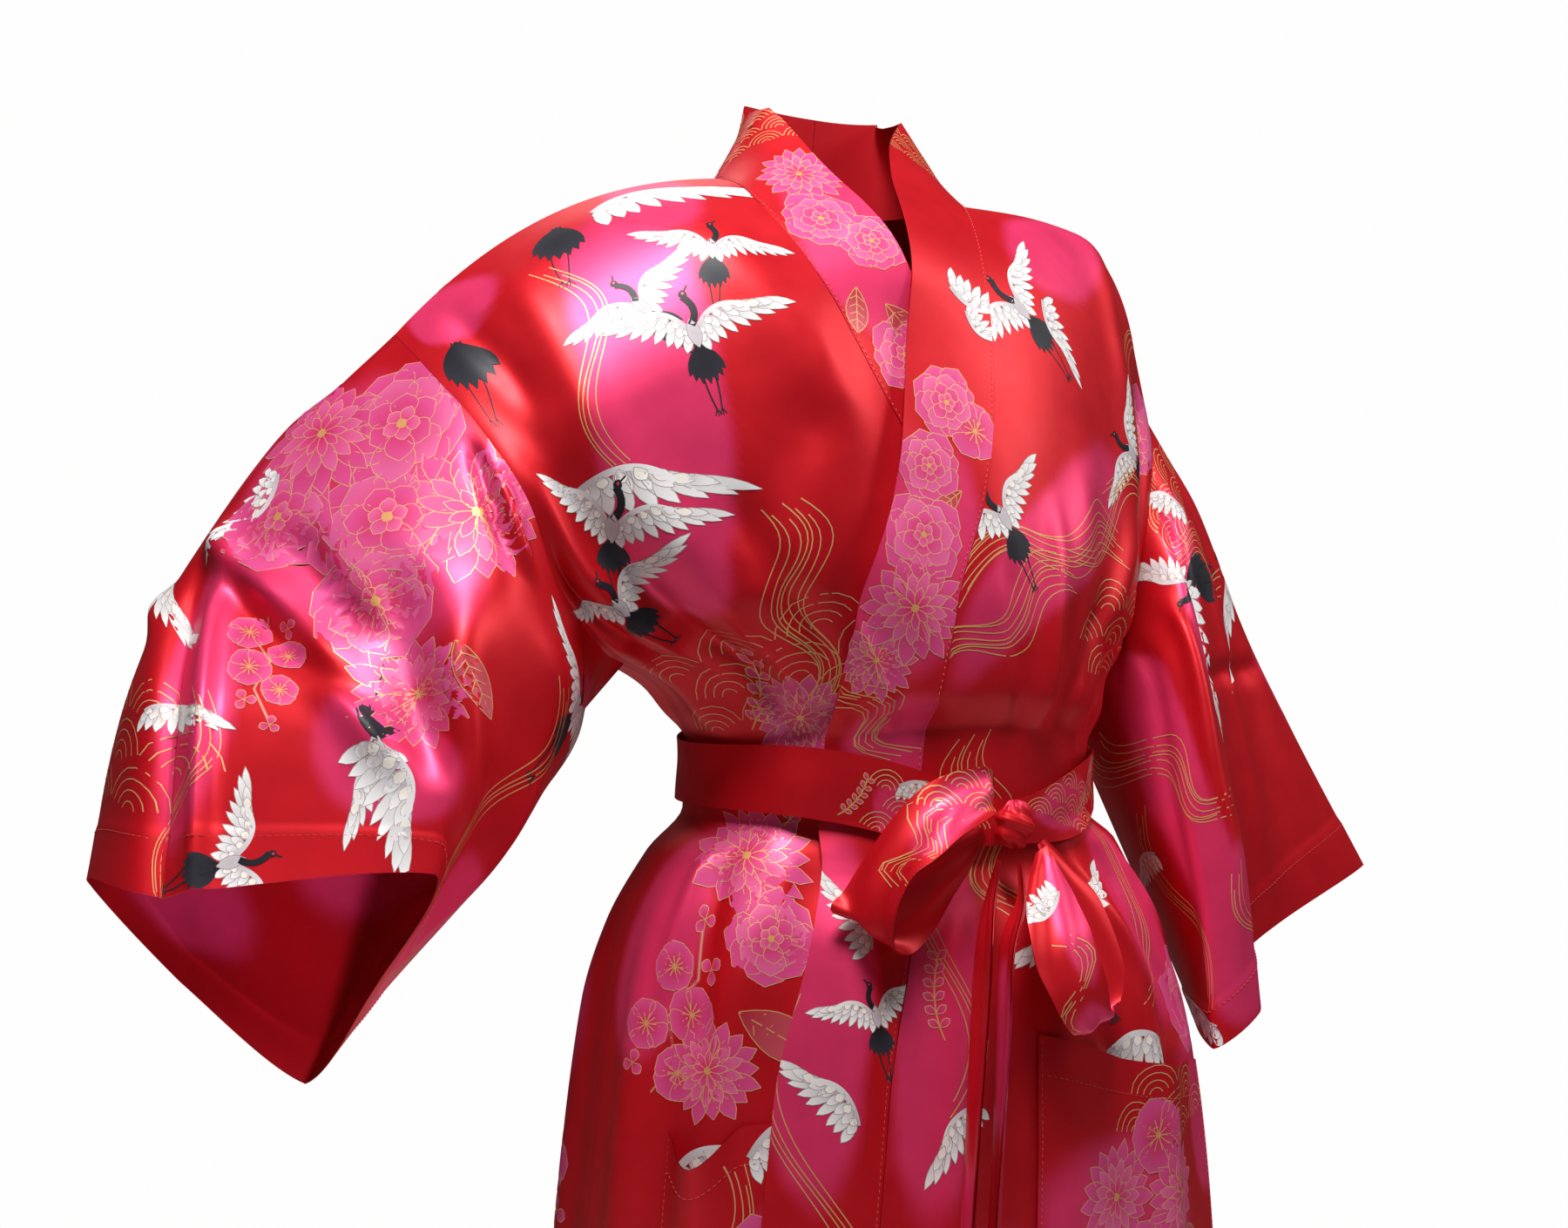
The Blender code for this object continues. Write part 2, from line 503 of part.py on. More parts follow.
# The bow and the belt's ends, as the middle lines of doubled bands, with their half widths and the way their widths lie
BOW_COLUMNS = ("x", "y", "z", "half_width", "way_x", "way_y", "way_z")
BOW = {
    "bow_loop_right": (
        (0.014, -0.158, -0.417, 0.005, 0.08, -0.05, 1.00),
        (0.004, -0.170, -0.405, 0.015, 0.06, 0.32, 0.95),
        (-0.027, -0.174, -0.414, 0.021, -0.01, 0.65, 0.76),
        (-0.051, -0.172, -0.433, 0.024, -0.06, 0.90, 0.43),
        (-0.067, -0.166, -0.453, 0.024, -0.11, 0.98, 0.16),
        (-0.076, -0.162, -0.473, 0.024, -0.20, 0.95, 0.20),
        (-0.079, -0.158, -0.486, 0.024, -0.45, 0.75, 0.45),
        (-0.067, -0.155, -0.492, 0.024, -0.72, 0.40, 0.55),
        (-0.045, -0.154, -0.482, 0.022, -0.75, 0.15, 0.60),
        (-0.018, -0.154, -0.458, 0.017, -0.75, -0.05, 0.66),
        (0.001, -0.153, -0.442, 0.010, -0.63, -0.05, 0.77),
        (0.013, -0.152, -0.433, 0.004, -0.41, 0.00, 0.90),
    ),
    "bow_loop_left": (
        (0.050, -0.164, -0.444, 0.004, 0.80, -0.20, 0.50),
        (0.044, -0.176, -0.458, 0.013, 0.94, 0.06, 0.34),
        (0.038, -0.194, -0.478, 0.022, 0.94, 0.11, 0.33),
        (0.036, -0.210, -0.500, 0.024, 0.94, 0.05, 0.34),
        (0.044, -0.218, -0.526, 0.022, 0.93, 0.11, 0.33),
        (0.058, -0.215, -0.548, 0.017, 0.92, 0.15, 0.33),
        (0.072, -0.200, -0.550, 0.017, 0.90, 0.18, 0.36),
        (0.080, -0.190, -0.524, 0.021, 0.88, 0.22, 0.40),
        (0.076, -0.176, -0.490, 0.020, 0.86, 0.22, 0.45),
        (0.068, -0.163, -0.463, 0.012, 0.84, 0.20, 0.50),
        (0.057, -0.154, -0.440, 0.004, 0.84, 0.10, 0.50),
    ),
    "belt_tail_left": (
        (0.032, -0.166, -0.452, 0.004, 0.40, 0.92, 0.00),
        (0.017, -0.190, -0.474, 0.012, 0.44, 0.90, 0.00),
        (-0.003, -0.206, -0.500, 0.022, 0.48, 0.88, 0.00),
        (-0.016, -0.222, -0.550, 0.024, 0.48, 0.88, 0.00),
        (-0.027, -0.234, -0.610, 0.024, 0.48, 0.88, 0.00),
        (-0.034, -0.240, -0.690, 0.024, 0.48, 0.88, 0.00),
        (-0.038, -0.243, -0.780, 0.024, 0.48, 0.88, 0.00),
        (-0.040, -0.246, -0.870, 0.024, 0.48, 0.88, 0.00),
    ),
    "belt_tail_right": (
        (0.020, -0.160, -0.450, 0.004, 0.30, 0.95, 0.00),
        (0.004, -0.176, -0.472, 0.011, 0.36, 0.93, 0.00),
        (-0.010, -0.192, -0.500, 0.018, 0.40, 0.92, 0.00),
        (-0.024, -0.207, -0.560, 0.022, 0.42, 0.91, 0.00),
        (-0.034, -0.217, -0.630, 0.023, 0.42, 0.91, 0.00),
        (-0.041, -0.223, -0.710, 0.023, 0.42, 0.91, 0.00),
        (-0.045, -0.227, -0.800, 0.023, 0.42, 0.91, 0.00),
    ),
}
BOW_STEPS = 2
KNOT_SIZE = (0.030, 0.022, 0.032)
KNOT_MIDDLE = (0.033, -0.1575, -0.428)
KNOT_FULL = 1.20


def bow_piece(name):
    """A band of the bow, as a ruled strip along its middle line."""
    rows = [(number, *row) for number, row in enumerate(BOW[name])]
    at = np.linspace(0, len(rows) - 1, BOW_STEPS * (len(rows) - 1) + 1)
    line = np.stack([column(("at", *BOW_COLUMNS), rows, key, at) for key in BOW_COLUMNS], -1)
    middle, half_width, way = line[:, :3], line[:, 3], unit(line[:, 4:])
    across = np.array([-1.0, 0.0, 1.0])
    return middle[:, None] + across[None, :, None] * half_width[:, None, None] * way[:, None]


def knot_mesh():
    """The belt's knot: a soft cube, wider than it is thick."""
    corners = np.array([(x, y, z) for x in (-0.5, 0.5) for y in (-0.5, 0.5) for z in (-0.5, 0.5)])
    faces = [(0, 1, 3, 2), (4, 6, 7, 5), (0, 4, 5, 1), (2, 3, 7, 6), (0, 2, 6, 4), (1, 5, 7, 3)]
    mesh = bpy.data.meshes.new("knot")
    mesh.from_pydata((corners * KNOT_SIZE * KNOT_FULL + KNOT_MIDDLE).tolist(), [], faces)
    return mesh


def cloth_mesh(name, points, ring=False):
    """An open surface through a grid of points, closed round into a tube where ring is set."""
    rows, columns = points.shape[:2]
    index = np.arange(rows * columns).reshape(rows, columns)
    if ring:
        index = np.concatenate([index, index[:, :1]], axis=1)
    faces = np.stack([index[:-1, :-1], index[1:, :-1], index[1:, 1:], index[:-1, 1:]], -1).reshape(-1, 4)
    mesh = bpy.data.meshes.new(name)
    mesh.from_pydata(points.reshape(-1, 3).tolist(), [], faces.tolist())
    return mesh


def silk(name, color):
    material = bpy.data.materials.new(name)
    material.use_nodes = True
    shader = material.node_tree.nodes["Principled BSDF"]
    shader.inputs["Base Color"].default_value = (*color, 1)
    shader.inputs["Roughness"].default_value = SILK_ROUGHNESS
    return material


def part_object(name, mesh, collection):
    mesh.shade_smooth()
    mesh.materials.append(silk(name + "_silk", SILK[name]))
    made = bpy.data.objects.new(name, mesh)
    collection.objects.link(made)
    return made


def main():
    for old in list(bpy.data.objects):
        bpy.data.objects.remove(old)
    collection = bpy.data.collections.new("silk_kimono")
    bpy.context.scene.collection.children.link(collection)
    cloth = {
        "back": (back_panel(), CLOTH),
        "front_right": (front_panel("right"), CLOTH),
        "front_left": (front_panel("left"), CLOTH),
        "sleeve_right": (sleeve("right"), CLOTH),
        "sleeve_left": (sleeve("left"), CLOTH),
        "pocket_right": (pocket("right"), CLOTH),
        "pocket_left": (pocket("left"), CLOTH),
        "collar_right": (band_piece("right"), DOUBLE_CLOTH),
        "collar_left": (band_piece("left"), DOUBLE_CLOTH),
        "belt": (belt_ring(), DOUBLE_CLOTH),
        **{name: (bow_piece(name), DOUBLE_CLOTH) for name in BOW},
    }
    for name, (points, thickness) in cloth.items():
        made = part_object(name, cloth_mesh(name, points, ring=name in RINGS), collection)
        wall = made.modifiers.new("wall", "SOLIDIFY")
        wall.thickness = thickness
        wall.offset = 0
    knot = part_object("knot", knot_mesh(), collection)
    soft = knot.modifiers.new("soft", "SUBSURF")
    soft.levels = soft.render_levels = 2


main()
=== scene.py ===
"""The silk kimono's finish: printed satin panels, its tied belt, its stitching, the lights and the camera.

Metres, +Z up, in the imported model's own frame. Every cloth piece is the worn form of its solid, read by the
same two numbers: v, the distance down the cloth from the shoulder seam, and a, the way round a face of the
body, from -1 at the right side to 1 at the left. A piece is cut flat in its own p and q, its print is drawn
on it there, and then it is carried onto the form.
"""

import json
import math
from collections import namedtuple

import bmesh
import bpy
import numpy as np
from mathutils import Matrix, Vector

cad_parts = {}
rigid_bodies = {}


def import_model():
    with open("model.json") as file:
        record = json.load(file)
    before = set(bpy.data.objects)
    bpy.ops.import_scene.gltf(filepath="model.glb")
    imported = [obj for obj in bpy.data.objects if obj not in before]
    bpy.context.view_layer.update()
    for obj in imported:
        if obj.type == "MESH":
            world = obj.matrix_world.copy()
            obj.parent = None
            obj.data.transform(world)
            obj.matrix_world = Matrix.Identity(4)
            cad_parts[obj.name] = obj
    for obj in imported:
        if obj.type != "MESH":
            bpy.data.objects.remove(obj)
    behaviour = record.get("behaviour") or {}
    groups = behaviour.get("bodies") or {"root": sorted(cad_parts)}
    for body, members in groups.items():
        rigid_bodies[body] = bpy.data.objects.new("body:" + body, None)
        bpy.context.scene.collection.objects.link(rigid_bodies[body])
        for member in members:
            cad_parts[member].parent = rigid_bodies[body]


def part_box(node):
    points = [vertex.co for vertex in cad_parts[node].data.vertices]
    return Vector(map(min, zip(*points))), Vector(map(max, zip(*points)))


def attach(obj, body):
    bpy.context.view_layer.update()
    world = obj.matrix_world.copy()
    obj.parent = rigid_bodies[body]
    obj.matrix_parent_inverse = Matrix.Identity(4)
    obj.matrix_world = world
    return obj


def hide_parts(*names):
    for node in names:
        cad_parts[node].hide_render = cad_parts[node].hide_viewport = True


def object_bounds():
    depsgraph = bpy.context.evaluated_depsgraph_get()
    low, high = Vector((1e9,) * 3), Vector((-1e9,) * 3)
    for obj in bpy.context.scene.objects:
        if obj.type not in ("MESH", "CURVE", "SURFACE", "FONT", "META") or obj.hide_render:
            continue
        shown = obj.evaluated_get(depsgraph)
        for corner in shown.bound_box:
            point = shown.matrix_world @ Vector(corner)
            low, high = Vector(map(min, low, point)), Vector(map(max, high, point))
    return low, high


for old in list(bpy.data.objects):
    bpy.data.objects.remove(old)
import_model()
cad_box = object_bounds()

# Driving dimensions, the same as the solids'
HEM_V = 1.34
UNDERARM_V = 0.336
BAND_WIDTH = 0.070
BELT_WIDTH = 0.048
LAYER = 0.0065
LAP = 0.0023
BELT_LIFT = 0.0048
HALF_GIRTH = 0.30
PANEL_COLUMNS = 16
START = {"right": -1, "left": 1}

# The middle of the trunk. round is 1 where the cloth runs on into the sleeve, and 0.5 where it turns to a
# side seam
TRUNK_COLUMNS = ("v", "z", "x", "front", "back", "round", "droop_right", "droop_left")
TRUNK = (
    (0.000, 0.002, 0.000, 0.020, 0.020, 1.00, 2.9, 8.5),
    (0.030, -0.008, 0.000, -0.022, 0.078, 1.00, 2.9, 8.0),
    (0.090, -0.052, 0.000, -0.078, 0.108, 1.00, 3.0, 6.0),
    (0.160, -0.116, 0.002, -0.112, 0.122, 0.95, 2.8, 4.0),
    (0.250, -0.204, 0.006, -0.138, 0.124, 0.75, 2.5, 2.6),
    (0.336, -0.290, 0.014, -0.151, 0.112, 0.55, 2.2, 2.2),
    (0.385, -0.342, 0.022, -0.148, 0.098, 0.52, 2.0, 2.0),
    (0.412, -0.370, 0.026, -0.138, 0.086, 0.48, 2.0, 2.0),
    (0.490, -0.450, 0.028, -0.138, 0.090, 0.48, 2.0, 2.0),
    (0.545, -0.505, 0.032, -0.160, 0.114, 0.48, 2.0, 2.0),
    (0.640, -0.600, 0.040, -0.178, 0.138, 0.48, 2.0, 2.0),
    (0.800, -0.760, 0.044, -0.187, 0.150, 0.50, 2.0, 2.0),
    (1.340, -1.300, 0.046, -0.208, 0.178, 0.50, 2.0, 2.0),
)

# The edges of the body pieces: the armhole's two edges down to the underarm, one side seam below it
SIDE_COLUMNS = ("v", "x", "z", "front", "back")
RIGHT_SIDE = (
    (0.000, -0.326, -0.128, 0.020, 0.020),
    (0.045, -0.316, -0.156, -0.022, 0.056),
    (0.090, -0.301, -0.184, -0.052, 0.078),
    (0.160, -0.276, -0.235, -0.082, 0.096),
    (0.230, -0.246, -0.292, -0.074, 0.082),
    (0.295, -0.206, -0.322, -0.040, 0.046),
    (0.336, -0.171, -0.332, 0.000, 0.000),
    (0.360, -0.147, -0.345, -0.004, -0.004),
    (0.385, -0.131, -0.364, -0.007, -0.007),
    (0.412, -0.121, -0.384, -0.010, -0.010),
    (0.465, -0.121, -0.430, -0.012, -0.012),
    (0.500, -0.148, -0.458, -0.012, -0.012),
    (0.545, -0.168, -0.505, -0.010, -0.010),
    (0.640, -0.183, -0.600, -0.010, -0.010),
    (0.800, -0.196, -0.760, -0.010, -0.010),
    (1.340, -0.222, -1.300, -0.010, -0.010),
)
LEFT_SIDE = (
    (0.000, 0.268, -0.138, 0.012, 0.012),
    (0.045, 0.264, -0.166, -0.004, 0.046),
    (0.090, 0.256, -0.192, -0.014, 0.070),
    (0.160, 0.244, -0.240, -0.022, 0.090),
    (0.230, 0.230, -0.292, -0.024, 0.080),
    (0.295, 0.208, -0.328, -0.018, 0.046),
    (0.336, 0.190, -0.344, 0.000, 0.000),
    (0.385, 0.180, -0.368, -0.010, -0.010),
    (0.412, 0.171, -0.388, -0.014, -0.014),
    (0.464, 0.171, -0.428, -0.014, -0.014),
    (0.490, 0.202, -0.450, -0.014, -0.014),
    (0.545, 0.230, -0.505, -0.012, -0.012),
    (0.640, 0.260, -0.600, -0.012, -0.012),
    (0.800, 0.286, -0.760, -0.012, -0.012),
    (1.340, 0.314, -1.300, -0.012, -0.012),
)

# Where the collar band's seam and its free edge lie, by x: the left front's, and the right front's under it
BAND_COLUMNS_X = ("v", "left_seam", "left_free", "right_seam", "right_free")
BAND = (
    (0.000, 0.092, 0.034, -0.099, -0.040),
    (0.045, 0.070, 0.010, -0.106, -0.042),
    (0.085, 0.056, -0.010, -0.096, -0.032),
    (0.130, 0.045, -0.022, -0.080, -0.016),
    (0.200, 0.032, -0.038, -0.048, 0.018),
    (0.260, 0.016, -0.052, -0.016, 0.052),
    (0.330, -0.010, -0.074, 0.018, 0.084),
    (0.412, -0.020, -0.077, 0.034, 0.096),
    (0.490, -0.026, -0.081, 0.042, 0.102),
    (0.545, -0.040, -0.098, 0.054, 0.116),
    (0.640, -0.060, -0.122, 0.074, 0.138),
    (1.340, -0.094, -0.158, 0.120, 0.184),
)

# The way the band stands from its seam: from the middle of the back neck, -1, to where it lies on a front, 1
STAND_COLUMNS = ("way", "x", "y", "z")
STAND = (
    (-1.00, 0.00, -0.10, 0.99),
    (-0.40, 0.08, -0.04, 0.99),
    (-0.10, 0.46, 0.06, 0.88),
    (0.00, 0.56, 0.12, 0.82),
    (0.25, 0.76, 0.24, 0.58),
    (0.55, 0.84, 0.20, 0.44),
    (1.00, 0.86, -0.12, 0.48),
)

# The largest folds of the body, ridges out and troughs in, as lines on a face of the form. Columns: the face,
# a and v at both ends, the half width and the depth
FOLDS = (
    ("front", 0.79, 0.05, 0.76, 0.34, 0.020, -0.013),
    ("front", 0.60, 0.12, 0.58, 0.33, 0.028, 0.009),
    ("front", 0.36, 0.22, 0.12, 0.42, 0.016, 0.005),
    ("front", -0.82, 0.10, -0.60, 0.40, 0.022, -0.007),
    ("front", -0.66, 0.16, -0.42, 0.41, 0.022, 0.006),
    ("front", -0.36, 0.06, -0.16, 0.24, 0.018, 0.006),
    ("back", -0.80, 0.08, -0.62, 0.36, 0.024, 0.009),
    ("back", -0.58, 0.12, -0.46, 0.38, 0.020, -0.006),
    ("back", 0.80, 0.08, 0.62, 0.36, 0.024, 0.009),
    ("back", 0.58, 0.12, 0.46, 0.38, 0.020, -0.006),
    ("back", -0.20, 0.06, 0.20, 0.16, 0.022, -0.004),
)

# Where the cloth that the belt gathers falls in flutes, which show a little in the blouse above it too.
# Columns: the face, a and the depth
FLUTES = (
    ("front", -0.86, 0.009),
    ("front", -0.62, 0.006),
    ("front", -0.36, 0.005),
    ("front", -0.19, 0.009),
    ("front", 0.06, 0.006),
    ("front", 0.34, 0.008),
    ("front", 0.62, 0.006),
    ("front", 0.84, 0.006),
    ("back", -0.84, 0.010),
    ("back", -0.62, 0.007),
    ("back", -0.42, 0.010),
    ("back", -0.22, 0.007),
    ("back", 0.00, 0.009),
    ("back", 0.20, 0.007),
    ("back", 0.40, 0.010),
    ("back", 0.62, 0.007),
    ("back", 0.84, 0.010),
)
FLUTE_WIDTH = 0.021
FLUTE_GROWTH = 0.35
FLUTED_V = 0.60
BLOUSE_SHARE = 0.6
BLOUSE_V = (0.20, 0.34)
BLOUSE_END = 0.375
BELT_TOP = 0.412
BELT_LOW = 0.490
PLAIN_A = 0.88
NECK_DIP = 0.030
NECK_SQUARE = 0.35
LAID_V = 0.13
COVER_FADE = 0.16
COVER_V = (0.10, 0.16)


def curve_between(t, step, low, high, low_slope, high_slope):
    """A smooth curve between two values with these slopes, t of the way along a step."""
    hold = 2 * t**3 - 3 * t**2 + 1
    return (
        hold * low
        + (1 - hold) * high
        + (t**3 - 2 * t**2 + t) * step * low_slope
        + (t**3 - t**2) * step * high_slope
    )


def column(names, rows, name, at):
    """One column of a table, read along its first column on a smooth curve that keeps between its rows."""
    x = np.array([row[0] for row in rows], float)
    y = np.array([row[names.index(name)] for row in rows], float)
    step = np.diff(x)
    rise = np.diff(y) / step
    slope = np.concatenate([rise[:1], np.zeros(len(x) - 2), rise[-1:]])
    same_way = rise[1:] * rise[:-1] > 0
    near, far = 2 * step[1:] + step[:-1], step[1:] + 2 * step[:-1]
    with np.errstate(divide="ignore", invalid="ignore"):
        mean = (near + far) / (near / rise[:-1] + far / rise[1:])
    slope[1:-1] = np.where(same_way, mean, 0)
    i = np.clip(np.searchsorted(x, at, side="right") - 1, 0, len(step) - 1)
    t = (np.asarray(at, float) - x[i]) / step[i]
    return curve_between(t, step[i], y[i], y[i + 1], slope[i], slope[i + 1])


def ease(low, high, at):
    """0 up to low, 1 from high on, and a smooth rise between them."""
    t = np.clip((np.asarray(at, float) - low) / (high - low), 0, 1)
    return t * t * (3 - 2 * t)


def unit(vectors):
    return vectors / np.maximum(np.linalg.norm(vectors, axis=-1, keepdims=True), 1e-12)


def side_column(name, v, right):
    """A column of the right side's table or the left side's."""
    return np.where(right, *(column(SIDE_COLUMNS, rows, name, v) for rows in (RIGHT_SIDE, LEFT_SIDE)))


def smooth_form(face, a, v):
    """The cloth without its folds, at a round the front or the back and v down it."""
    a, v = np.broadcast_arrays(np.asarray(a, float), np.asarray(v, float))
    reach = np.sin(a * math.pi / 2)
    right = reach < 0

    def trunk(name):
        return column(TRUNK_COLUMNS, TRUNK, name, v)

    def side(name):
        return side_column(name, v, right)

    droop = np.where(right, trunk("droop_right"), trunk("droop_left"))
    x = trunk("x") + (side("x") - trunk("x")) * np.abs(reach)
    y = side(face) + (trunk(face) - side(face)) * np.maximum(1 - reach**2, 0) ** trunk("round")
    z = trunk("z") + (side("z") - trunk("z")) * np.abs(reach) ** droop
    return np.stack([x, y, z], -1)


def outward(face, a, v):
    """The cloth's outward normal, without its folds."""
    step_a, step_v = 0.01, 0.006
    inside_v = np.clip(v, step_v, HEM_V - step_v)
    inside_a = np.clip(a, -1 + step_a, 1 - step_a)
    across = smooth_form(face, inside_a + step_a, inside_v) - smooth_form(face, inside_a - step_a, inside_v)
    down = smooth_form(face, inside_a, inside_v + step_v) - smooth_form(face, inside_a, inside_v - step_v)
    normal = np.cross(down, across) if face == "back" else np.cross(across, down)
    return unit(-normal)


def beside_line(x, y, line, scale_x, scale_y=1.0):
    """How far along a line each point is, as a share of it, and how far off it, in metres."""
    x0, y0, x1, y1 = line
    run = np.array([(x1 - x0) * scale_x, (y1 - y0) * scale_y])
    way_x, way_y = (x - x0) * scale_x, (y - y0) * scale_y
    along = (way_x * run[0] + way_y * run[1]) / (run @ run)
    return along, (way_x * run[1] - way_y * run[0]) / math.hypot(*run)


def soft_ends(along, before, inside):
    """1 along a line, and less near its ends: from before them to inside them."""
    return ease(-before, inside, along) * (1 - ease(1 - inside, 1 + before, along))


def relief(face, a, v):
    """How far the folds, pleats and gathers stand out of the smooth form."""
    total = np.zeros(np.shape(a))
    for where, *line, width, depth in FOLDS:
        if where == face:
            along, off = beside_line(a, v, line, HALF_GIRTH)
            total += depth * soft_ends(along, 0.15, 0.25) * np.exp(-((off / width) ** 2))
    for number, (where, at, depth) in enumerate(FLUTES):
        if where == face:
            off = (a - at) * HALF_GIRTH / (FLUTE_WIDTH * (1 + 0.3 * math.sin(2.3 * number)))
            skirt = ease(BELT_LOW, FLUTED_V, v) * (1 + FLUTE_GROWTH * ease(FLUTED_V, HEM_V, v))
            blouse = BLOUSE_SHARE * ease(*BLOUSE_V, v) * (1 - ease(BLOUSE_END, BELT_TOP, v))
            total += depth * (skirt + blouse) * np.exp(-(off**2))
    return (total + creases(face, a, v)) * (1 - ease(PLAIN_A, 1.0, np.abs(a)))


def form(face, a, v, lift=0.0, covered=0.0):
    """The worn cloth with its folds, lifted, and plain and further in where another layer covers it."""
    a, v = np.broadcast_arrays(np.asarray(a, float), np.asarray(v, float))
    out = relief(face, a, v) * (1 - covered) - LAYER * covered + lift
    return smooth_form(face, a, v) + outward(face, a, v) * out[..., None]


def angle_of(x, v):
    """The a at which a row of the front has this x."""
    middle = column(TRUNK_COLUMNS, TRUNK, "x", v)
    side = side_column("x", v, x < middle)
    reach = np.clip((x - middle) / np.abs(side - middle), -1, 1)
    return np.arcsin(reach) * 2 / math.pi


def band_angle(edge, v):
    return angle_of(column(BAND_COLUMNS_X, BAND, edge, v), v)


def under_left(a, v):
    """1 where the left front covers the right front, and 0 beside it."""
    return ease(-COVER_FADE, 0.0, a - band_angle("left_free", v)) * ease(*COVER_V, v)


def covered_at(side, a, v):
    """How far a point of this side's front, its band or its pocket is covered by the other front."""
    return under_left(a, v) if side == "right" else np.zeros(np.shape(a))


def neck_angles():
    return float(band_angle("right_seam", 0.0)), float(band_angle("left_seam", 0.0))


def neck_dip(a):
    """How far the back neck is cut below the line of the shoulder seams."""
    right, left = neck_angles()
    across = np.clip((a - right) / (left - right), 0, 1)
    return NECK_DIP * np.sin(across * math.pi) ** NECK_SQUARE


# The sleeves: lines along each, each with its place round it and its points at the stations, in millimetres.
# The place runs from 0 at the top fold down the front to the seam at 0.5 and up the back
SLEEVE_STATIONS = (0.25, 0.5, 0.75, 1.0)
MILLIMETRES = 1000
SLEEVE_LINES = {
    "right": {
        "top": (0.00, ((-374, 34, -182), (-432, 38, -272), (-476, -40, -362), (-492, -82, -460))),
        "front": (0.23, ((-306, -104, -286), (-336, -122, -335), (-342, -136, -390), (-352, -143, -447))),
        "inner": (0.37, ((-229, -62, -350), (-254, -72, -400), (-306, -94, -458), (-364, -75, -522))),
        "seam": (0.50, ((-208, 34, -392), (-272, 52, -468), (-330, 40, -538), (-375, 10, -592))),
        "low": (0.65, ((-290, 98, -318), (-370, 104, -412), (-424, 64, -486), (-450, 18, -526))),
        "back": (0.83, ((-350, 94, -214), (-428, 92, -300), (-484, 46, -378), (-508, 8, -462))),
    },
    "left": {
        "top": (0.00, ((314, 10, -200), (362, 10, -284), (416, 0, -378), (487, -10, -487))),
        "ridge": (0.20, ((262, -50, -258), (284, -60, -345), (306, -62, -440), (326, -56, -537))),
        "front": (0.32, ((240, -68, -300), (244, -104, -380), (262, -120, -470), (276, -124, -570))),
        "inner": (0.42, ((218, -46, -342), (220, -78, -420), (230, -108, -510), (236, -124, -594))),
        "seam": (0.50, ((206, 10, -376), (236, -4, -448), (268, -20, -524), (296, -34, -592))),
        "back": (0.76, ((272, 86, -290), (322, 72, -364), (366, 54, -444), (404, 34, -522))),
    },
}
CRISP = 0.45
SEWN_SHARE = 0.3


def armhole(side, around):
    """A point of the armhole's edge, from 0 at its top down the front to 0.5 at the underarm, then up."""
    around = np.asarray(around, float)
    down = UNDERARM_V * (1 - np.abs(2 * around - 1))
    front, back = form("front", START[side], down), form("back", START[side], down)
    return np.where((around <= 0.5)[..., None], front, back)


def round_curve(places, corners, around):
    """A closed curve through corners at their places round it, part smooth and part straight between them."""
    n = len(places)
    places = np.concatenate([places, [places[0] + 1, places[1] + 1]])
    corners = np.concatenate([corners, corners[:2]])
    before = np.concatenate([[places[n - 1] - 1], places])
    values = np.concatenate([corners[n - 1 : n], corners])
    slopes = (values[2:] - values[:-2]) / (before[2:] - before[:-2])[:, None]
    i = np.clip(np.searchsorted(places[: n + 1], around, side="right") - 1, 0, n - 1)
    step = (places[i + 1] - places[i])[:, None]
    t = (around - places[i])[:, None] / step
    straight = corners[i] * (1 - t) + corners[i + 1] * t
    smooth = curve_between(t, step, corners[i], corners[i + 1], slopes[i % n], slopes[(i + 1) % n])
    return smooth, straight


def sleeve_ring(side, along, around):
    """A ring of a sleeve, along it from 0 at the armhole to 1 at the cuff."""
    places = np.array([place for place, path in SLEEVE_LINES[side].values()])
    start = armhole(side, places)
    corners = []
    for sewn_at, (place, path) in zip(start, SLEEVE_LINES[side].values()):
        points = np.array(path) / MILLIMETRES
        stations = [(0.0, *sewn_at)] + [(at, *point) for at, point in zip(SLEEVE_STATIONS, points)]
        corners.append([column(("at", "x", "y", "z"), stations, name, along) for name in "xyz"])
    smooth, straight = round_curve(places, np.array(corners), around)
    crisp = CRISP * ease(SEWN_SHARE, 1.0, along)
    ring = smooth * (1 - crisp) + straight * crisp
    sewn = 1 - ease(0.0, SEWN_SHARE, along)
    return ring + (armhole(side, around) - round_curve(places, start, around)[0]) * sewn


# The belt's middle line lies at BELT_V, and dips to the knot, where the belt is drawn in
BELT_V = 0.434
BELT_RIPPLE = 0.0012
KNOT_A = 0.06
BELT_DIP = 0.034
DIP_SPREAD = 0.45
DRAWN_IN = 0.40
DRAWN_SPREAD = 0.20


def belt_middle(face, a):
    dip = BELT_DIP * np.exp(-(((a - KNOT_A) / DIP_SPREAD) ** 2)) if face == "front" else 0 * a
    return BELT_V + dip


# The pockets. Columns: their edges in columns of their front, from its side seam, the v of their mouths at
# both edges, how far the mouths gape and sag, and the share of a mouth that gapes
POCKETS = {
    "right": (3.7, 10.3, 0.662, 0.640, 0.014, 0.022, 0.36),
    "left": (5.0, 12.4, 0.642, 0.600, 0.009, 0.008, 1.00),
}
POCKET_DEPTH = 0.17
POCKET_WIDTH = {"right": 0.15, "left": 0.18}

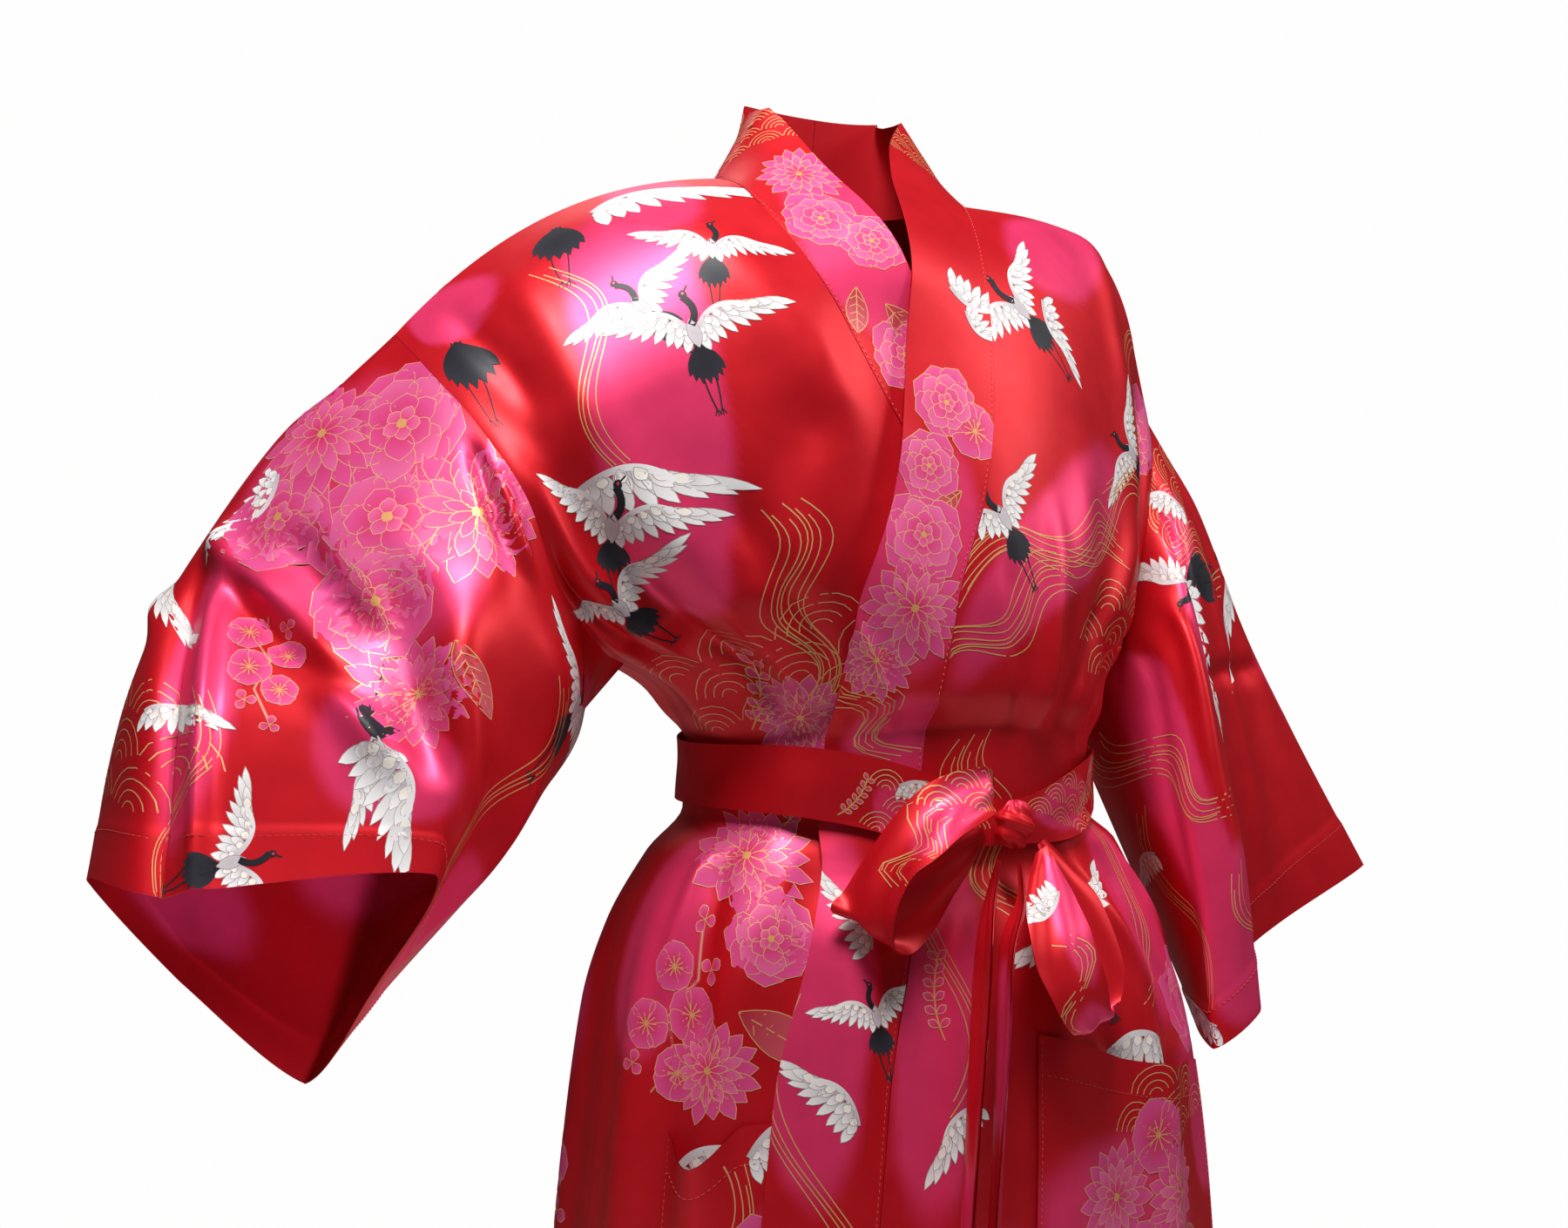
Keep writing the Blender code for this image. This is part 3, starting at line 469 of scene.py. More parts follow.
# The bow and the belt's ends, as the middle lines of doubled bands, with their half widths and the way that
# their widths lie
BOW_COLUMNS = ("x", "y", "z", "half_width", "way_x", "way_y", "way_z")
BOW = {
    "bow_loop_right": (
        (0.014, -0.158, -0.417, 0.005, 0.08, -0.05, 1.00),
        (0.004, -0.170, -0.405, 0.015, 0.06, 0.32, 0.95),
        (-0.027, -0.174, -0.414, 0.021, -0.01, 0.65, 0.76),
        (-0.051, -0.172, -0.433, 0.024, -0.06, 0.90, 0.43),
        (-0.067, -0.166, -0.453, 0.024, -0.11, 0.98, 0.16),
        (-0.076, -0.162, -0.473, 0.024, -0.20, 0.95, 0.20),
        (-0.079, -0.158, -0.486, 0.024, -0.45, 0.75, 0.45),
        (-0.067, -0.155, -0.492, 0.024, -0.72, 0.40, 0.55),
        (-0.045, -0.154, -0.482, 0.022, -0.75, 0.15, 0.60),
        (-0.018, -0.154, -0.458, 0.017, -0.75, -0.05, 0.66),
        (0.001, -0.153, -0.442, 0.010, -0.63, -0.05, 0.77),
        (0.013, -0.152, -0.433, 0.004, -0.41, 0.00, 0.90),
    ),
    "bow_loop_left": (
        (0.050, -0.164, -0.444, 0.004, 0.80, -0.20, 0.50),
        (0.044, -0.176, -0.458, 0.013, 0.94, 0.06, 0.34),
        (0.038, -0.194, -0.478, 0.022, 0.94, 0.11, 0.33),
        (0.036, -0.210, -0.500, 0.024, 0.94, 0.05, 0.34),
        (0.044, -0.218, -0.526, 0.022, 0.93, 0.11, 0.33),
        (0.058, -0.215, -0.548, 0.017, 0.92, 0.15, 0.33),
        (0.072, -0.200, -0.550, 0.017, 0.90, 0.18, 0.36),
        (0.080, -0.190, -0.524, 0.021, 0.88, 0.22, 0.40),
        (0.076, -0.176, -0.490, 0.020, 0.86, 0.22, 0.45),
        (0.068, -0.163, -0.463, 0.012, 0.84, 0.20, 0.50),
        (0.057, -0.154, -0.440, 0.004, 0.84, 0.10, 0.50),
    ),
    "belt_tail_left": (
        (0.032, -0.166, -0.452, 0.004, 0.40, 0.92, 0.00),
        (0.017, -0.190, -0.474, 0.012, 0.44, 0.90, 0.00),
        (-0.003, -0.206, -0.500, 0.022, 0.48, 0.88, 0.00),
        (-0.016, -0.222, -0.550, 0.024, 0.48, 0.88, 0.00),
        (-0.027, -0.234, -0.610, 0.024, 0.48, 0.88, 0.00),
        (-0.034, -0.240, -0.690, 0.024, 0.48, 0.88, 0.00),
        (-0.038, -0.243, -0.780, 0.024, 0.48, 0.88, 0.00),
        (-0.040, -0.246, -0.870, 0.024, 0.48, 0.88, 0.00),
    ),
    "belt_tail_right": (
        (0.020, -0.160, -0.450, 0.004, 0.30, 0.95, 0.00),
        (0.004, -0.176, -0.472, 0.011, 0.36, 0.93, 0.00),
        (-0.010, -0.192, -0.500, 0.018, 0.40, 0.92, 0.00),
        (-0.024, -0.207, -0.560, 0.022, 0.42, 0.91, 0.00),
        (-0.034, -0.217, -0.630, 0.023, 0.42, 0.91, 0.00),
        (-0.041, -0.223, -0.710, 0.023, 0.42, 0.91, 0.00),
        (-0.045, -0.227, -0.800, 0.023, 0.42, 0.91, 0.00),
    ),
}

BOW_RIPPLE = 0.0012
BOW_CUP = 0.0022
BOW_ROWS = 160
BOW_ACROSS = 25
BOW_SMOOTHED = 6

# Finer creases of the body, with the same columns as the folds
CREASES = (
    ("front", -0.93, 0.2, -0.78, 0.33, 0.01, -0.006), ("front", -0.86, 0.16, -0.7, 0.36, 0.012, 0.005),
    ("front", -0.7, 0.22, -0.6, 0.4, 0.009, -0.004), ("front", -0.56, 0.28, -0.52, 0.41, 0.008, 0.0035),
    ("front", -0.44, 0.24, -0.4, 0.41, 0.01, -0.004), ("front", -0.34, 0.31, -0.3, 0.41, 0.007, 0.003),
    ("front", -0.62, 0.03, -0.66, 0.17, 0.014, 0.004), ("front", -0.76, 0.02, -0.74, 0.12, 0.012, -0.004),
    ("front", -0.24, 0.2, -0.46, 0.27, 0.02, -0.004), ("front", 0.86, 0.2, 0.6, 0.36, 0.012, 0.006),
    ("front", 0.74, 0.24, 0.5, 0.41, 0.01, -0.005), ("front", 0.56, 0.22, 0.4, 0.41, 0.011, 0.005),
    ("front", 0.44, 0.3, 0.26, 0.41, 0.009, -0.004), ("front", 0.22, 0.26, 0.18, 0.41, 0.01, 0.004),
    ("front", 0.06, 0.3, 0.08, 0.41, 0.008, -0.003), ("front", 0.5, 0.02, 0.56, 0.14, 0.014, 0.004),
    ("front", -0.78, 0.49, -0.8, 0.58, 0.008, 0.004), ("front", -0.7, 0.49, -0.68, 0.62, 0.009, -0.004),
    ("front", -0.52, 0.49, -0.5, 0.57, 0.008, 0.003), ("front", -0.28, 0.49, -0.29, 0.6, 0.008, -0.004),
    ("front", 0.16, 0.49, 0.24, 0.66, 0.01, -0.005), ("front", 0.26, 0.49, 0.42, 0.6, 0.01, 0.005),
    ("front", 0.4, 0.49, 0.56, 0.62, 0.01, -0.004), ("front", 0.52, 0.49, 0.74, 0.58, 0.011, 0.004),
    ("front", -0.9, 0.72, -0.4, 0.95, 0.03, -0.003), ("front", 0.2, 0.9, 0.8, 1.1, 0.03, -0.003),
    ("back", -0.88, 0.18, -0.64, 0.34, 0.012, -0.005), ("back", -0.7, 0.24, -0.56, 0.41, 0.01, 0.004),
    ("back", -0.34, 0.3, -0.3, 0.41, 0.009, -0.004), ("back", -0.1, 0.26, -0.08, 0.41, 0.01, 0.004),
    ("back", 0.14, 0.3, 0.12, 0.41, 0.008, -0.003), ("back", 0.36, 0.26, 0.3, 0.41, 0.01, 0.004),
    ("back", 0.7, 0.22, 0.54, 0.4, 0.011, -0.005), ("back", 0.88, 0.18, 0.66, 0.34, 0.012, 0.005),
    ("back", -0.72, 0.49, -0.74, 0.64, 0.009, -0.004), ("back", -0.32, 0.49, -0.3, 0.6, 0.009, 0.004),
    ("back", 0.1, 0.49, 0.11, 0.62, 0.009, -0.004), ("back", 0.52, 0.49, 0.54, 0.6, 0.009, 0.004),
    ("back", -0.6, 0.74, 0.1, 0.92, 0.03, -0.003), ("back", 0.1, 1, 0.8, 1.14, 0.03, 0.003),
)

# Creases of the sleeves. Columns: the side, the place along and around the sleeve at both ends, as shares of
# its length and girth, the half width and the depth
SLEEVE_CREASES = (
    ("right", 0.46, -0.03, 0.55, 0.1, 0.011, 0.01), ("right", 0.5, 0.02, 0.68, 0.16, 0.012, -0.009),
    ("right", 0.42, 0.06, 0.52, 0.16, 0.012, -0.008), ("right", 0.55, 0.1, 0.8, 0.185, 0.013, 0.009),
    ("right", 0.04, 0.15, 0.16, 0.235, 0.008, -0.006), ("right", 0.02, 0.18, 0.14, 0.265, 0.009, 0.006),
    ("right", 0.5, 0.026, 1.08, 0.036, 0.007, 0.008), ("right", 0.5, -0.012, 1.08, 0, 0.015, -0.012),
    ("right", 0.36, 0.165, 0.78, 0.215, 0.018, -0.012), ("right", 0.3, 0.22, 0.9, 0.27, 0.016, 0.007),
    ("right", 0.2, 0.3, 0.8, 0.36, 0.016, 0.006), ("right", 0.45, -0.2, 0.62, -0.06, 0.012, 0.008),
    ("right", 0.4, -0.26, 0.6, -0.14, 0.014, -0.007), ("right", 0.2, -0.34, 0.9, -0.3, 0.022, -0.006),
    ("right", 0.1, -0.16, 0.4, -0.12, 0.014, 0.005), ("left", 0.05, 0.16, 0.5, 0.24, 0.012, -0.007),
    ("left", 0.1, 0.06, 0.9, 0.1, 0.022, -0.006), ("left", 0.3, 0.12, 0.95, 0.155, 0.012, 0.004),
    ("left", 0.45, 0.22, 0.56, 0.1, 0.007, -0.004), ("left", 0.56, 0.12, 0.62, 0.02, 0.008, -0.004),
    ("left", 0.15, 0.3, 0.9, 0.36, 0.014, 0.006), ("left", 0.1, 0.38, 0.95, 0.44, 0.01, -0.004),
    ("left", 0.1, -0.14, 0.8, -0.18, 0.02, -0.006), ("left", 0.2, -0.3, 0.9, -0.34, 0.018, 0.006),
    ("left", 0.05, -0.24, 0.4, -0.2, 0.014, 0.005),
)
SLEEVE_LENGTH = 0.38
SLEEVE_GIRTH = 0.67
SLEEVE_GRID = (90, 181)

# The panels' flat width, the cloth's thickness, and the sleeves' turned hem
PANEL_WIDTH = 0.40
NECK_HALF = 0.085
BELT_HALF = 0.42
CLOTH = 0.0008
DOUBLE_CLOTH = 0.0014
HEM_FOLD = 0.030
HEM_STEP = 0.0009
HEM_SLOPE = 0.008
CREASE_END = 0.12


def line_share(along_way, off, width):
    """How much of a crease's depth is felt beside its line, and near its two soft ends."""
    along_way, off = np.broadcast_arrays(along_way, off)
    near = (np.abs(off) < 3 * width) & (np.abs(along_way - 0.5) < 0.5 + CREASE_END)
    share = np.zeros(off.shape)
    along = along_way[near]
    fade = ease(-CREASE_END, 0.22, along) * (1 - ease(0.72, 1 + CREASE_END, along))
    share[near] = fade * np.exp(-((off[near] / width) ** 2))
    return share


def creases(face, a, v):
    """How far the finer creases stand out of the form."""
    total = np.zeros(np.shape(a))
    for where, *line, width, depth in CREASES:
        if where == face:
            total += depth * line_share(*beside_line(a, v, line, HALF_GIRTH), width)
    return total


# Surfaces: each gives points for p across a flat piece and q down it


class Grid:
    """A surface read between the points of a fine grid over p and q."""

    def __init__(self, points, p_range, q_range):
        self.points = points
        self.p_range = p_range
        self.q_range = q_range

    def __call__(self, p, q):
        rows, columns = self.points.shape[:2]
        x = np.clip((p - self.p_range[0]) / (self.p_range[1] - self.p_range[0]), 0, 1) * (columns - 1)
        y = np.clip((q - self.q_range[0]) / (self.q_range[1] - self.q_range[0]), 0, 1) * (rows - 1)
        i = np.minimum(x.astype(int), columns - 2)
        j = np.minimum(y.astype(int), rows - 2)
        s, t = (x - i)[:, None], (y - j)[:, None]
        g = self.points
        top = g[j, i] * (1 - s) + g[j, i + 1] * s
        low = g[j + 1, i] * (1 - s) + g[j + 1, i + 1] * s
        return top * (1 - t) + low * t


def toward_band(side, share, v):
    """The a that is this share of the way from a front's side seam to its band."""
    return START[side] + (band_angle(side + "_seam", v) - START[side]) * share


def front_surface(side):
    def at(p, q):
        v = np.clip(q, 0, HEM_V)
        a = toward_band(side, np.clip(p / PANEL_WIDTH, 0, 1), v)
        return form("front", a, v, covered=covered_at(side, a, v))

    return at


def back_surface(p, q):
    a = np.clip(p / PANEL_WIDTH, -1, 1)
    v = np.clip(q, 0, HEM_V)
    return form("back", a, v + neck_dip(a) * (1 - v / HEM_V) ** 6 * inside_neck(a))


def inside_neck(a):
    right, left = neck_angles()
    return ((a > right) & (a < left)).astype(float)


def band_surface(side):
    """p from 0 at the seam to the band's width, q from the middle of the back neck, below 0, down a front."""
    right, left = neck_angles()
    corner = right if side == "right" else left
    middle = (right + left) / 2

    def at(p, q):
        share = np.clip(p / BAND_WIDTH, 0, 1)
        back_way = np.clip(q / NECK_HALF, -1, 0)
        round_neck = middle + (corner - middle) * (1 + back_way)
        back_seam = form("back", round_neck, neck_dip(round_neck))
        v = np.clip(q, 0, HEM_V)
        seam_angle = band_angle(side + "_seam", v)
        front_seam = form("front", seam_angle, v, covered=covered_at(side, seam_angle, v))
        seam = np.where((q < 0)[:, None], back_seam, front_seam)
        way = np.where(q < 0, back_way, np.clip(q / LAID_V, 0, 1))
        stand = unit(np.stack([column(STAND_COLUMNS, STAND, name, way) for name in "xyz"], -1))
        stand[:, 0] *= -START[side]
        standing = seam + stand * (share * BAND_WIDTH)[:, None]
        a = seam_angle + (band_angle(side + "_free", v) - seam_angle) * share
        laid = form("front", a, v, covered=covered_at(side, a, v))
        settled = ease(LAID_V * 0.55, LAID_V * 1.3, q)[:, None]
        return standing * (1 - settled) + laid * settled

    return at


def sleeve_surface(side):
    """p from the underarm seam up the back to the top fold at 0, and down the front; q from the armhole."""
    rows, columns = SLEEVE_GRID
    share = np.linspace(-0.5, 0.5, columns)
    along = np.linspace(0, 1, rows)
    ring = share[:-1] % 1.0
    points = np.array([sleeve_ring(side, at, ring) for at in along])
    points = np.concatenate([points, points[:, :1]], axis=1)
    across = np.roll(points[:, :-1], -1, 1) - np.roll(points[:, :-1], 1, 1)
    across = np.concatenate([across, across[:, :1]], axis=1)
    normal = unit(np.cross(across, np.gradient(points, axis=0)))
    middle = points[:, :-1].mean(axis=1, keepdims=True)
    if (normal * (points - middle)).sum() < 0:
        normal = -normal
    total = np.zeros((rows, columns))
    for where, along0, around0, along1, around1, width, depth in SLEEVE_CREASES:
        if where == side:
            line = (around0, along0, around1, along1)
            beside = beside_line(share[None], along[:, None], line, SLEEVE_GIRTH, SLEEVE_LENGTH)
            total += depth * line_share(*beside, width)
    total *= ease(0.0, 0.06, along)[:, None] * (1 - ease(0.44, 0.5, np.abs(share)))[None]
    turn_up = 1 - HEM_FOLD / SLEEVE_LENGTH
    total += HEM_STEP * ease(turn_up - HEM_SLOPE, turn_up, along)[:, None]
    points = points + normal * total[..., None]
    return Grid(points, (-SLEEVE_GIRTH / 2, SLEEVE_GIRTH / 2), (0.0, SLEEVE_LENGTH))


def belt_surface(face):
    def at(p, q):
        a = np.clip(p / BELT_HALF, -1, 1)
        offset = np.clip(q, -BELT_WIDTH / 2, BELT_WIDTH / 2)
        drawn = 0.0
        if face == "front":
            drawn = DRAWN_IN * np.exp(-(((a - KNOT_A) / DRAWN_SPREAD) ** 2))
        lift = BELT_LIFT + BELT_RIPPLE * np.sin(a * 9 + offset * 60) * (1 - np.abs(offset) / BELT_WIDTH)
        return form(face, a, belt_middle(face, a) + offset * (1 - drawn), lift)

    return at


def pocket_surface(side):
    outer, inner, outer_mouth, inner_mouth, gape, sag, opened = POCKETS[side]

    def at(p, q):
        share = np.clip(p / POCKET_WIDTH[side], 0, 1)
        down = np.clip(q / POCKET_DEPTH, 0, 1)
        place = outer + (inner - outer) * share
        slack = np.sin(np.clip(share / opened, 0, 1) * math.pi) ** 1.5 * (1 - down) ** 2
        v = outer_mouth + (inner_mouth - outer_mouth) * share + POCKET_DEPTH * down
        a = toward_band(side, place / PANEL_COLUMNS, v)
        covered = covered_at(side, a, v)
        return form("front", a, v + sag * slack, LAP + gape * slack * (1 - covered), covered)

    return at


def bow_surface(name):
    """A band of the bow: p across it, q along it, its edges a little cupped."""
    rows = [(number, *row) for number, row in enumerate(BOW[name])]
    at = np.linspace(0, len(rows) - 1, BOW_ROWS)
    line = np.stack([column(("at", *BOW_COLUMNS), rows, key, at) for key in BOW_COLUMNS], -1)
    middle, half_width, way = line[:, :3], line[:, 3], unit(line[:, 4:])
    for _ in range(BOW_SMOOTHED):
        middle[1:-1] = (middle[:-2] + 2 * middle[1:-1] + middle[2:]) / 4
    across = np.linspace(-1.0, 1.0, BOW_ACROSS)
    normal = unit(np.cross(way, np.gradient(middle, axis=0)))
    waves = BOW_RIPPLE * np.sin(across[None] * 5.0 + at[:, None] * 1.4) + BOW_CUP * across[None] ** 2
    points = middle[:, None] + across[None, :, None] * half_width[:, None, None] * way[:, None]
    points = points + normal[:, None] * (waves * ease(0, 0.02, half_width)[:, None])[..., None]
    length = np.linalg.norm(np.diff(middle, axis=0), axis=1).sum()
    return Grid(points, (-BELT_WIDTH / 2, BELT_WIDTH / 2), (0.0, length)), length


# The print's motifs, each a list of (ink, grid of points, root, reach, level) in metres, x aside and y down

LINE = 0.0010
PETAL_LINE = 0.0005
FEATHER_LINE = 0.0004


def blade(length, width, fullness, rows=7, columns=None):
    """A petal, feather or leaf as a grid: pointed at its root and its tip, widest where fullness says."""
    s = np.linspace(0, 1, rows)
    half = 0.5 * width * np.maximum(np.sin(np.pi * s**fullness), 0.0) ** 0.8 + width * 0.01
    t = np.linspace(-1, 1, columns or (3 if width < 0.009 else 5))
    return np.stack([half[:, None] * t[None], np.repeat(-length * s[:, None], len(t), 1)], -1)


def turned(points, angle, x=0.0, y=0.0):
    c, s = math.cos(angle), math.sin(angle)
    return points @ np.array([[c, s], [-s, c]]) + (x, y)


def stroke(points, width):
    """A thin line through points, as a ribbon."""
    points = np.asarray(points, float)
    way = unit(np.gradient(points, axis=0))
    side = np.stack([-way[:, 1], way[:, 0]], -1) * width / 2
    return np.stack([points + side, points - side], 1)


def rim_of(grid):
    """The line round a blade's two long edges."""
    return np.concatenate([grid[:, -1], grid[::-1, 0]])


def curve(*points, count=7):
    """Points on a smooth curve through three."""
    (x0, y0), (x1, y1), (x2, y2) = points
    t = np.linspace(0, 1, count)[:, None]
    control = 2 * np.array([x1, y1]) - (np.array([x0, y0]) + (x2, y2)) / 2
    return (1 - t) ** 2 * np.array([x0, y0]) + 2 * t * (1 - t) * control + t * t * np.array([x2, y2])


def outlined(ink, grid, root, reach, level=0, line="gold", width=0.00065):
    return [(ink, grid, root, reach, level), (line, stroke(rim_of(grid), width), root, reach, level + 0.5)]


# The rings of petals. Columns: a ring's reach, its petals, their width and their fullness
FLOWERS = {
    "chrysanthemum": ((1.0, 17, 0.33, 1.5), (0.68, 13, 0.34, 1.5), (0.38, 9, 0.40, 1.4)),
    "peony": ((1.0, 8, 0.86, 1.7), (0.76, 7, 0.80, 1.6), (0.50, 6, 0.80, 1.5), (0.26, 5, 0.80, 1.4)),
    "plum": ((1.0, 5, 1.12, 1.7),),
    "bud": ((1.0, 3, 0.80, 1.4),),
}


def flower(kind, radius):
    """A flower from above: rings of petals round a gold middle."""
    found = []
    rings = FLOWERS[kind]
    for number, (share, count, width, fullness) in enumerate(rings):
        length = radius * share
        for k in range(count):
            angle = 2 * math.pi * (k + 0.5 * (number % 2)) / count
            wave = 1 + 0.07 * math.sin(3 * k + number)
            shape = turned(blade(length * wave, length * width, fullness), angle)
            ink = "petal" if number % 2 == 0 else "petal_pale"
            found += outlined(ink, shape, (0, 0), length, 3 * number + k % 3, width=PETAL_LINE)
    middle = turned(blade(radius * 0.16, radius * 0.16, 1.0, 5, 3), 0, 0, radius * 0.08)
    top = 3 * len(rings)
    found += [("gold", middle, (0, 0), radius, top + 1)]
    if kind == "plum":
        for k in range(10):
            stamen = stroke([(0, 0), (0, -radius * 0.2), (0, -radius * 0.42)], LINE * 0.7)
            found += [("gold", turned(stamen, k * math.pi / 5), (0, 0), radius, top)]
    return found


def leaf(length):
    found = outlined("leaf", blade(length, length * 0.46, 1.1, 9), (0, 0), length, 0)
    spine = np.stack([np.zeros(7), np.linspace(0, -0.92 * length, 7)], -1)
    found += [("gold", stroke(spine, LINE * 0.8), (0, 0), length, 1)]
    for k in range(1, 5):
        y = -length * 0.17 * k
        for side in (-1, 1):
            tip = np.array([side * length * 0.15, y - length * 0.10])
            vein = np.linspace((0, y), tip, 4)
            found += [("gold", stroke(vein, LINE * 0.6), (0, 0), length, 1)]
    return found


def feathers(root, angles, length, width, ink, level, line="shade"):
    """A fan of feathers from one root, the longest in the middle."""
    found = []
    n = len(angles)
    for k, angle in enumerate(angles):
        reach = length * (0.72 + 0.28 * math.sin(math.pi * (k + 1) / (n + 1)))
        shape = turned(blade(reach, width, 1.25), angle, *root)
        found += outlined(ink, shape, root, reach, level + k % 2, line, FEATHER_LINE)
    return found


# The rows of a wing's feathers. Columns: their length, their number and their ink
WING_ROWS = ((1.0, 9, "white"), (0.58, 8, "white"), (0.32, 6, "cream"))


def wing(size, side=1):
    """A crane's opened wing: from the arm hang three rows of feathers, the longest at the tip."""
    arm = curve((0, 0), (0.42 * size, -0.20 * size), (0.80 * size, -0.02 * size), count=25)
    found = []
    for row, (share, count, ink) in enumerate(WING_ROWS):
        for k in range(count):
            way = (k + 0.5) / count
            root = arm[int(way * 24)]
            angle = math.pi * (1.02 - 0.46 * way**1.3)
            reach = size * share * (0.30 + 0.38 * way)
            shape = turned(blade(reach, size * (0.100 + 0.03 * share), 1.2), angle, *root)
            found += outlined(ink, shape, tuple(root), reach, 2 * row + k % 2, "shade", FEATHER_LINE)
    found += [("white", stroke(arm, size * 0.07), (0, 0), size, 6)]
    mirror = np.array([side, 1.0])
    return [(ink, grid * mirror, tuple(root * mirror), *rest) for ink, grid, root, *rest in found]


def tail(size):
    """A crane's black tail and the thin legs behind it, hanging down from its root."""
    found = []
    for k in (-1, 1):
        foot = curve((k * size * 0.03, 0), (k * size * 0.07, size * 0.40), (k * size * 0.03, size * 0.80))
        found += [("black", stroke(foot, LINE), (0, 0), size, 0)]
        for toe in (-0.5, 0.0, 0.5):
            end = foot[-1] + size * 0.08 * np.array([math.sin(toe), math.cos(toe)])
            found += [("black", stroke(np.linspace(foot[-1], end, 3), LINE * 0.7), (0, 0), size, 0)]
    fan = [math.pi - 0.54 + 0.18 * k for k in range(7)]
    return found + feathers((0, 0), fan, size * 0.50, size * 0.11, "black", 1, "black")


def moved(drawn, angle, x, y, raised=0):
    """The same drawing, turned and moved, and some levels higher."""
    found = []
    for ink, grid, root, reach, level in drawn:
        at = turned(np.array([root]), angle, x, y)[0]
        found += [(ink, turned(grid, angle, x, y), tuple(at), reach, level + raised)]
    return found


def crane(size, lift=0.45):
    """A flying crane: neck and head up, both wings out, black tail and thin legs behind."""
    found = moved(tail(size), 0, 0, size * 0.12)
    for side, raised in ((-1, lift), (1, lift * 0.6)):
        found += moved(wing(size * 0.86, side), -side * raised, side * size * 0.03, 0, 2)
    body = turned(blade(size * 0.36, size * 0.16, 1.0), 0, 0, size * 0.18)
    found += outlined("white", body, (0, 0), size, 9, "shade", FEATHER_LINE)
    neck = curve((0, -size * 0.10), (size * 0.09, -size * 0.28), (size * 0.02, -size * 0.46))
    found += [("black", stroke(neck, size * 0.085), (0, 0), size, 10)]
    head = turned(blade(size * 0.12, size * 0.10, 1.0, 5, 3), 0.3, size * 0.02, -size * 0.43)
    found += [("black", head, (0, 0), size, 11)]
    crown = turned(blade(size * 0.04, size * 0.035, 1.0, 4, 3), 0.3, size * 0.035, -size * 0.48)
    found += [("crown", crown, (0, 0), size, 12)]
    beak = np.linspace((size * 0.03, -size * 0.48), (size * 0.12, -size * 0.59), 3)
    return found + [("black", stroke(beak, LINE), (0, 0), size, 10)]


def landing_crane(size):
    """A crane as it lands: black tail up, one wing hanging wide open, the other one half hidden behind it."""
    found = moved(tail(size * 0.9), math.pi, 0, 0)
    found += moved(wing(size * 0.62, -1), -1.15, size * 0.10, size * 0.06, 1)
    found += moved(wing(size, 1), 1.15, -size * 0.06, 0, 8)
    body = turned(blade(size * 0.40, size * 0.18, 1.0), math.pi, 0, -size * 0.04)
    return found + outlined("white", body, (0, 0), size, 7, "shade", FEATHER_LINE)


def water(length, lines=7, spacing=0.0042, swing=0.012, waves=1.6):
    """Flowing water: fine lines side by side along one winding way."""
    found = []
    t = np.linspace(0, 1, max(12, int(length / 0.005)))
    for k in range(lines):
        off = (k - (lines - 1) / 2) * spacing * (1 + 0.35 * np.sin(2 * math.pi * t + k))
        x = swing * np.sin(2 * math.pi * waves * t) + off
        y = (t - 0.5) * length
        trim = slice(k % 3, len(t) - (2 * k) % 4)
        found += [("gold", stroke(np.stack([x, y], -1)[trim], LINE * 0.8), (0, 0), length, k % 2)]
    return found


def ripples(size, rows=3, arcs=4):
    """Waves drawn as nested arcs in offset rows."""
    found = []
    for row in range(rows):
        for place in range(rows):
            x = (place - (rows - 1) / 2 + 0.5 * (row % 2)) * size * 0.5
            y = (row - (rows - 1) / 2) * size * 0.26
            for k in range(arcs):
                radius = size * 0.25 * (k + 1) / arcs
                t = np.linspace(-0.42 * math.pi, 0.42 * math.pi, 9)
                arc = np.stack([x + radius * np.sin(t), y - radius * np.cos(t)], -1)
                found += [("gold", stroke(arc, LINE * 0.7), (0, 0), size, (row + place) % 2)]
    return found


def sprig(length):
    stem = curve((0, 0), (length * 0.10, -length * 0.5), (0, -length))
    found = [("gold", stroke(stem, LINE), (0, 0), length, 0)]
    for k in range(1, 7):
        at = stem[k]
        for side in (-1, 1):
            spot = turned(blade(length * 0.17, length * 0.10, 1.3, 5, 3), side * 1.0, *at)
            found += outlined("petal", spot, tuple(at), length * 0.2, 1, width=LINE * 0.6)
    return found


# The blossoms of a branch. Columns: x, y and radius as shares of the branch's length, and the kind
BRANCH = (
    (0.14, -0.16, 0.17, "plum"),
    (-0.14, -0.36, 0.15, "plum"),
    (0.14, -0.50, 0.17, "plum"),
    (-0.06, -0.72, 0.14, "plum"),
    (0.20, -0.78, 0.09, "bud"),
    (0.04, -1.02, 0.08, "bud"),
    (-0.16, -0.12, 0.08, "bud"),
)


def branch(length):
    """A plum branch: a crooked stem with blossoms and buds."""
    bends = np.array([(0, 0), (0.10, -0.22), (-0.02, -0.45), (0.12, -0.70), (0.04, -1.0)]) * length
    way = np.linspace(0, 4, 25)
    stem = np.stack([np.interp(way, range(5), bends[:, k]) for k in (0, 1)], -1)
    found = [("leaf", stroke(stem, LINE * 2.6), (0, 0), length, 0)]
    found += [("gold", stroke(stem, LINE * 0.8), (0, 0), length, 1)]
    for k, (x, y, radius, kind) in enumerate(BRANCH):
        found += moved(flower(kind, radius * length), 0.7 * k, x * length, y * length, 2)
    return found


MOTIFS = {
    "chrysanthemum": lambda size: flower("chrysanthemum", size),
    "peony": lambda size: flower("peony", size),
    "plum": lambda size: flower("plum", size),
    "leaf": leaf,
    "wing": wing,
    "crane": crane,
    "landing": landing_crane,
    "tail": tail,
    "water": water,
    "stream": lambda size: water(size, lines=4, swing=0.02, waves=1.0),
    "ripples": ripples,
    "sprig": sprig,
    "branch": branch,
}


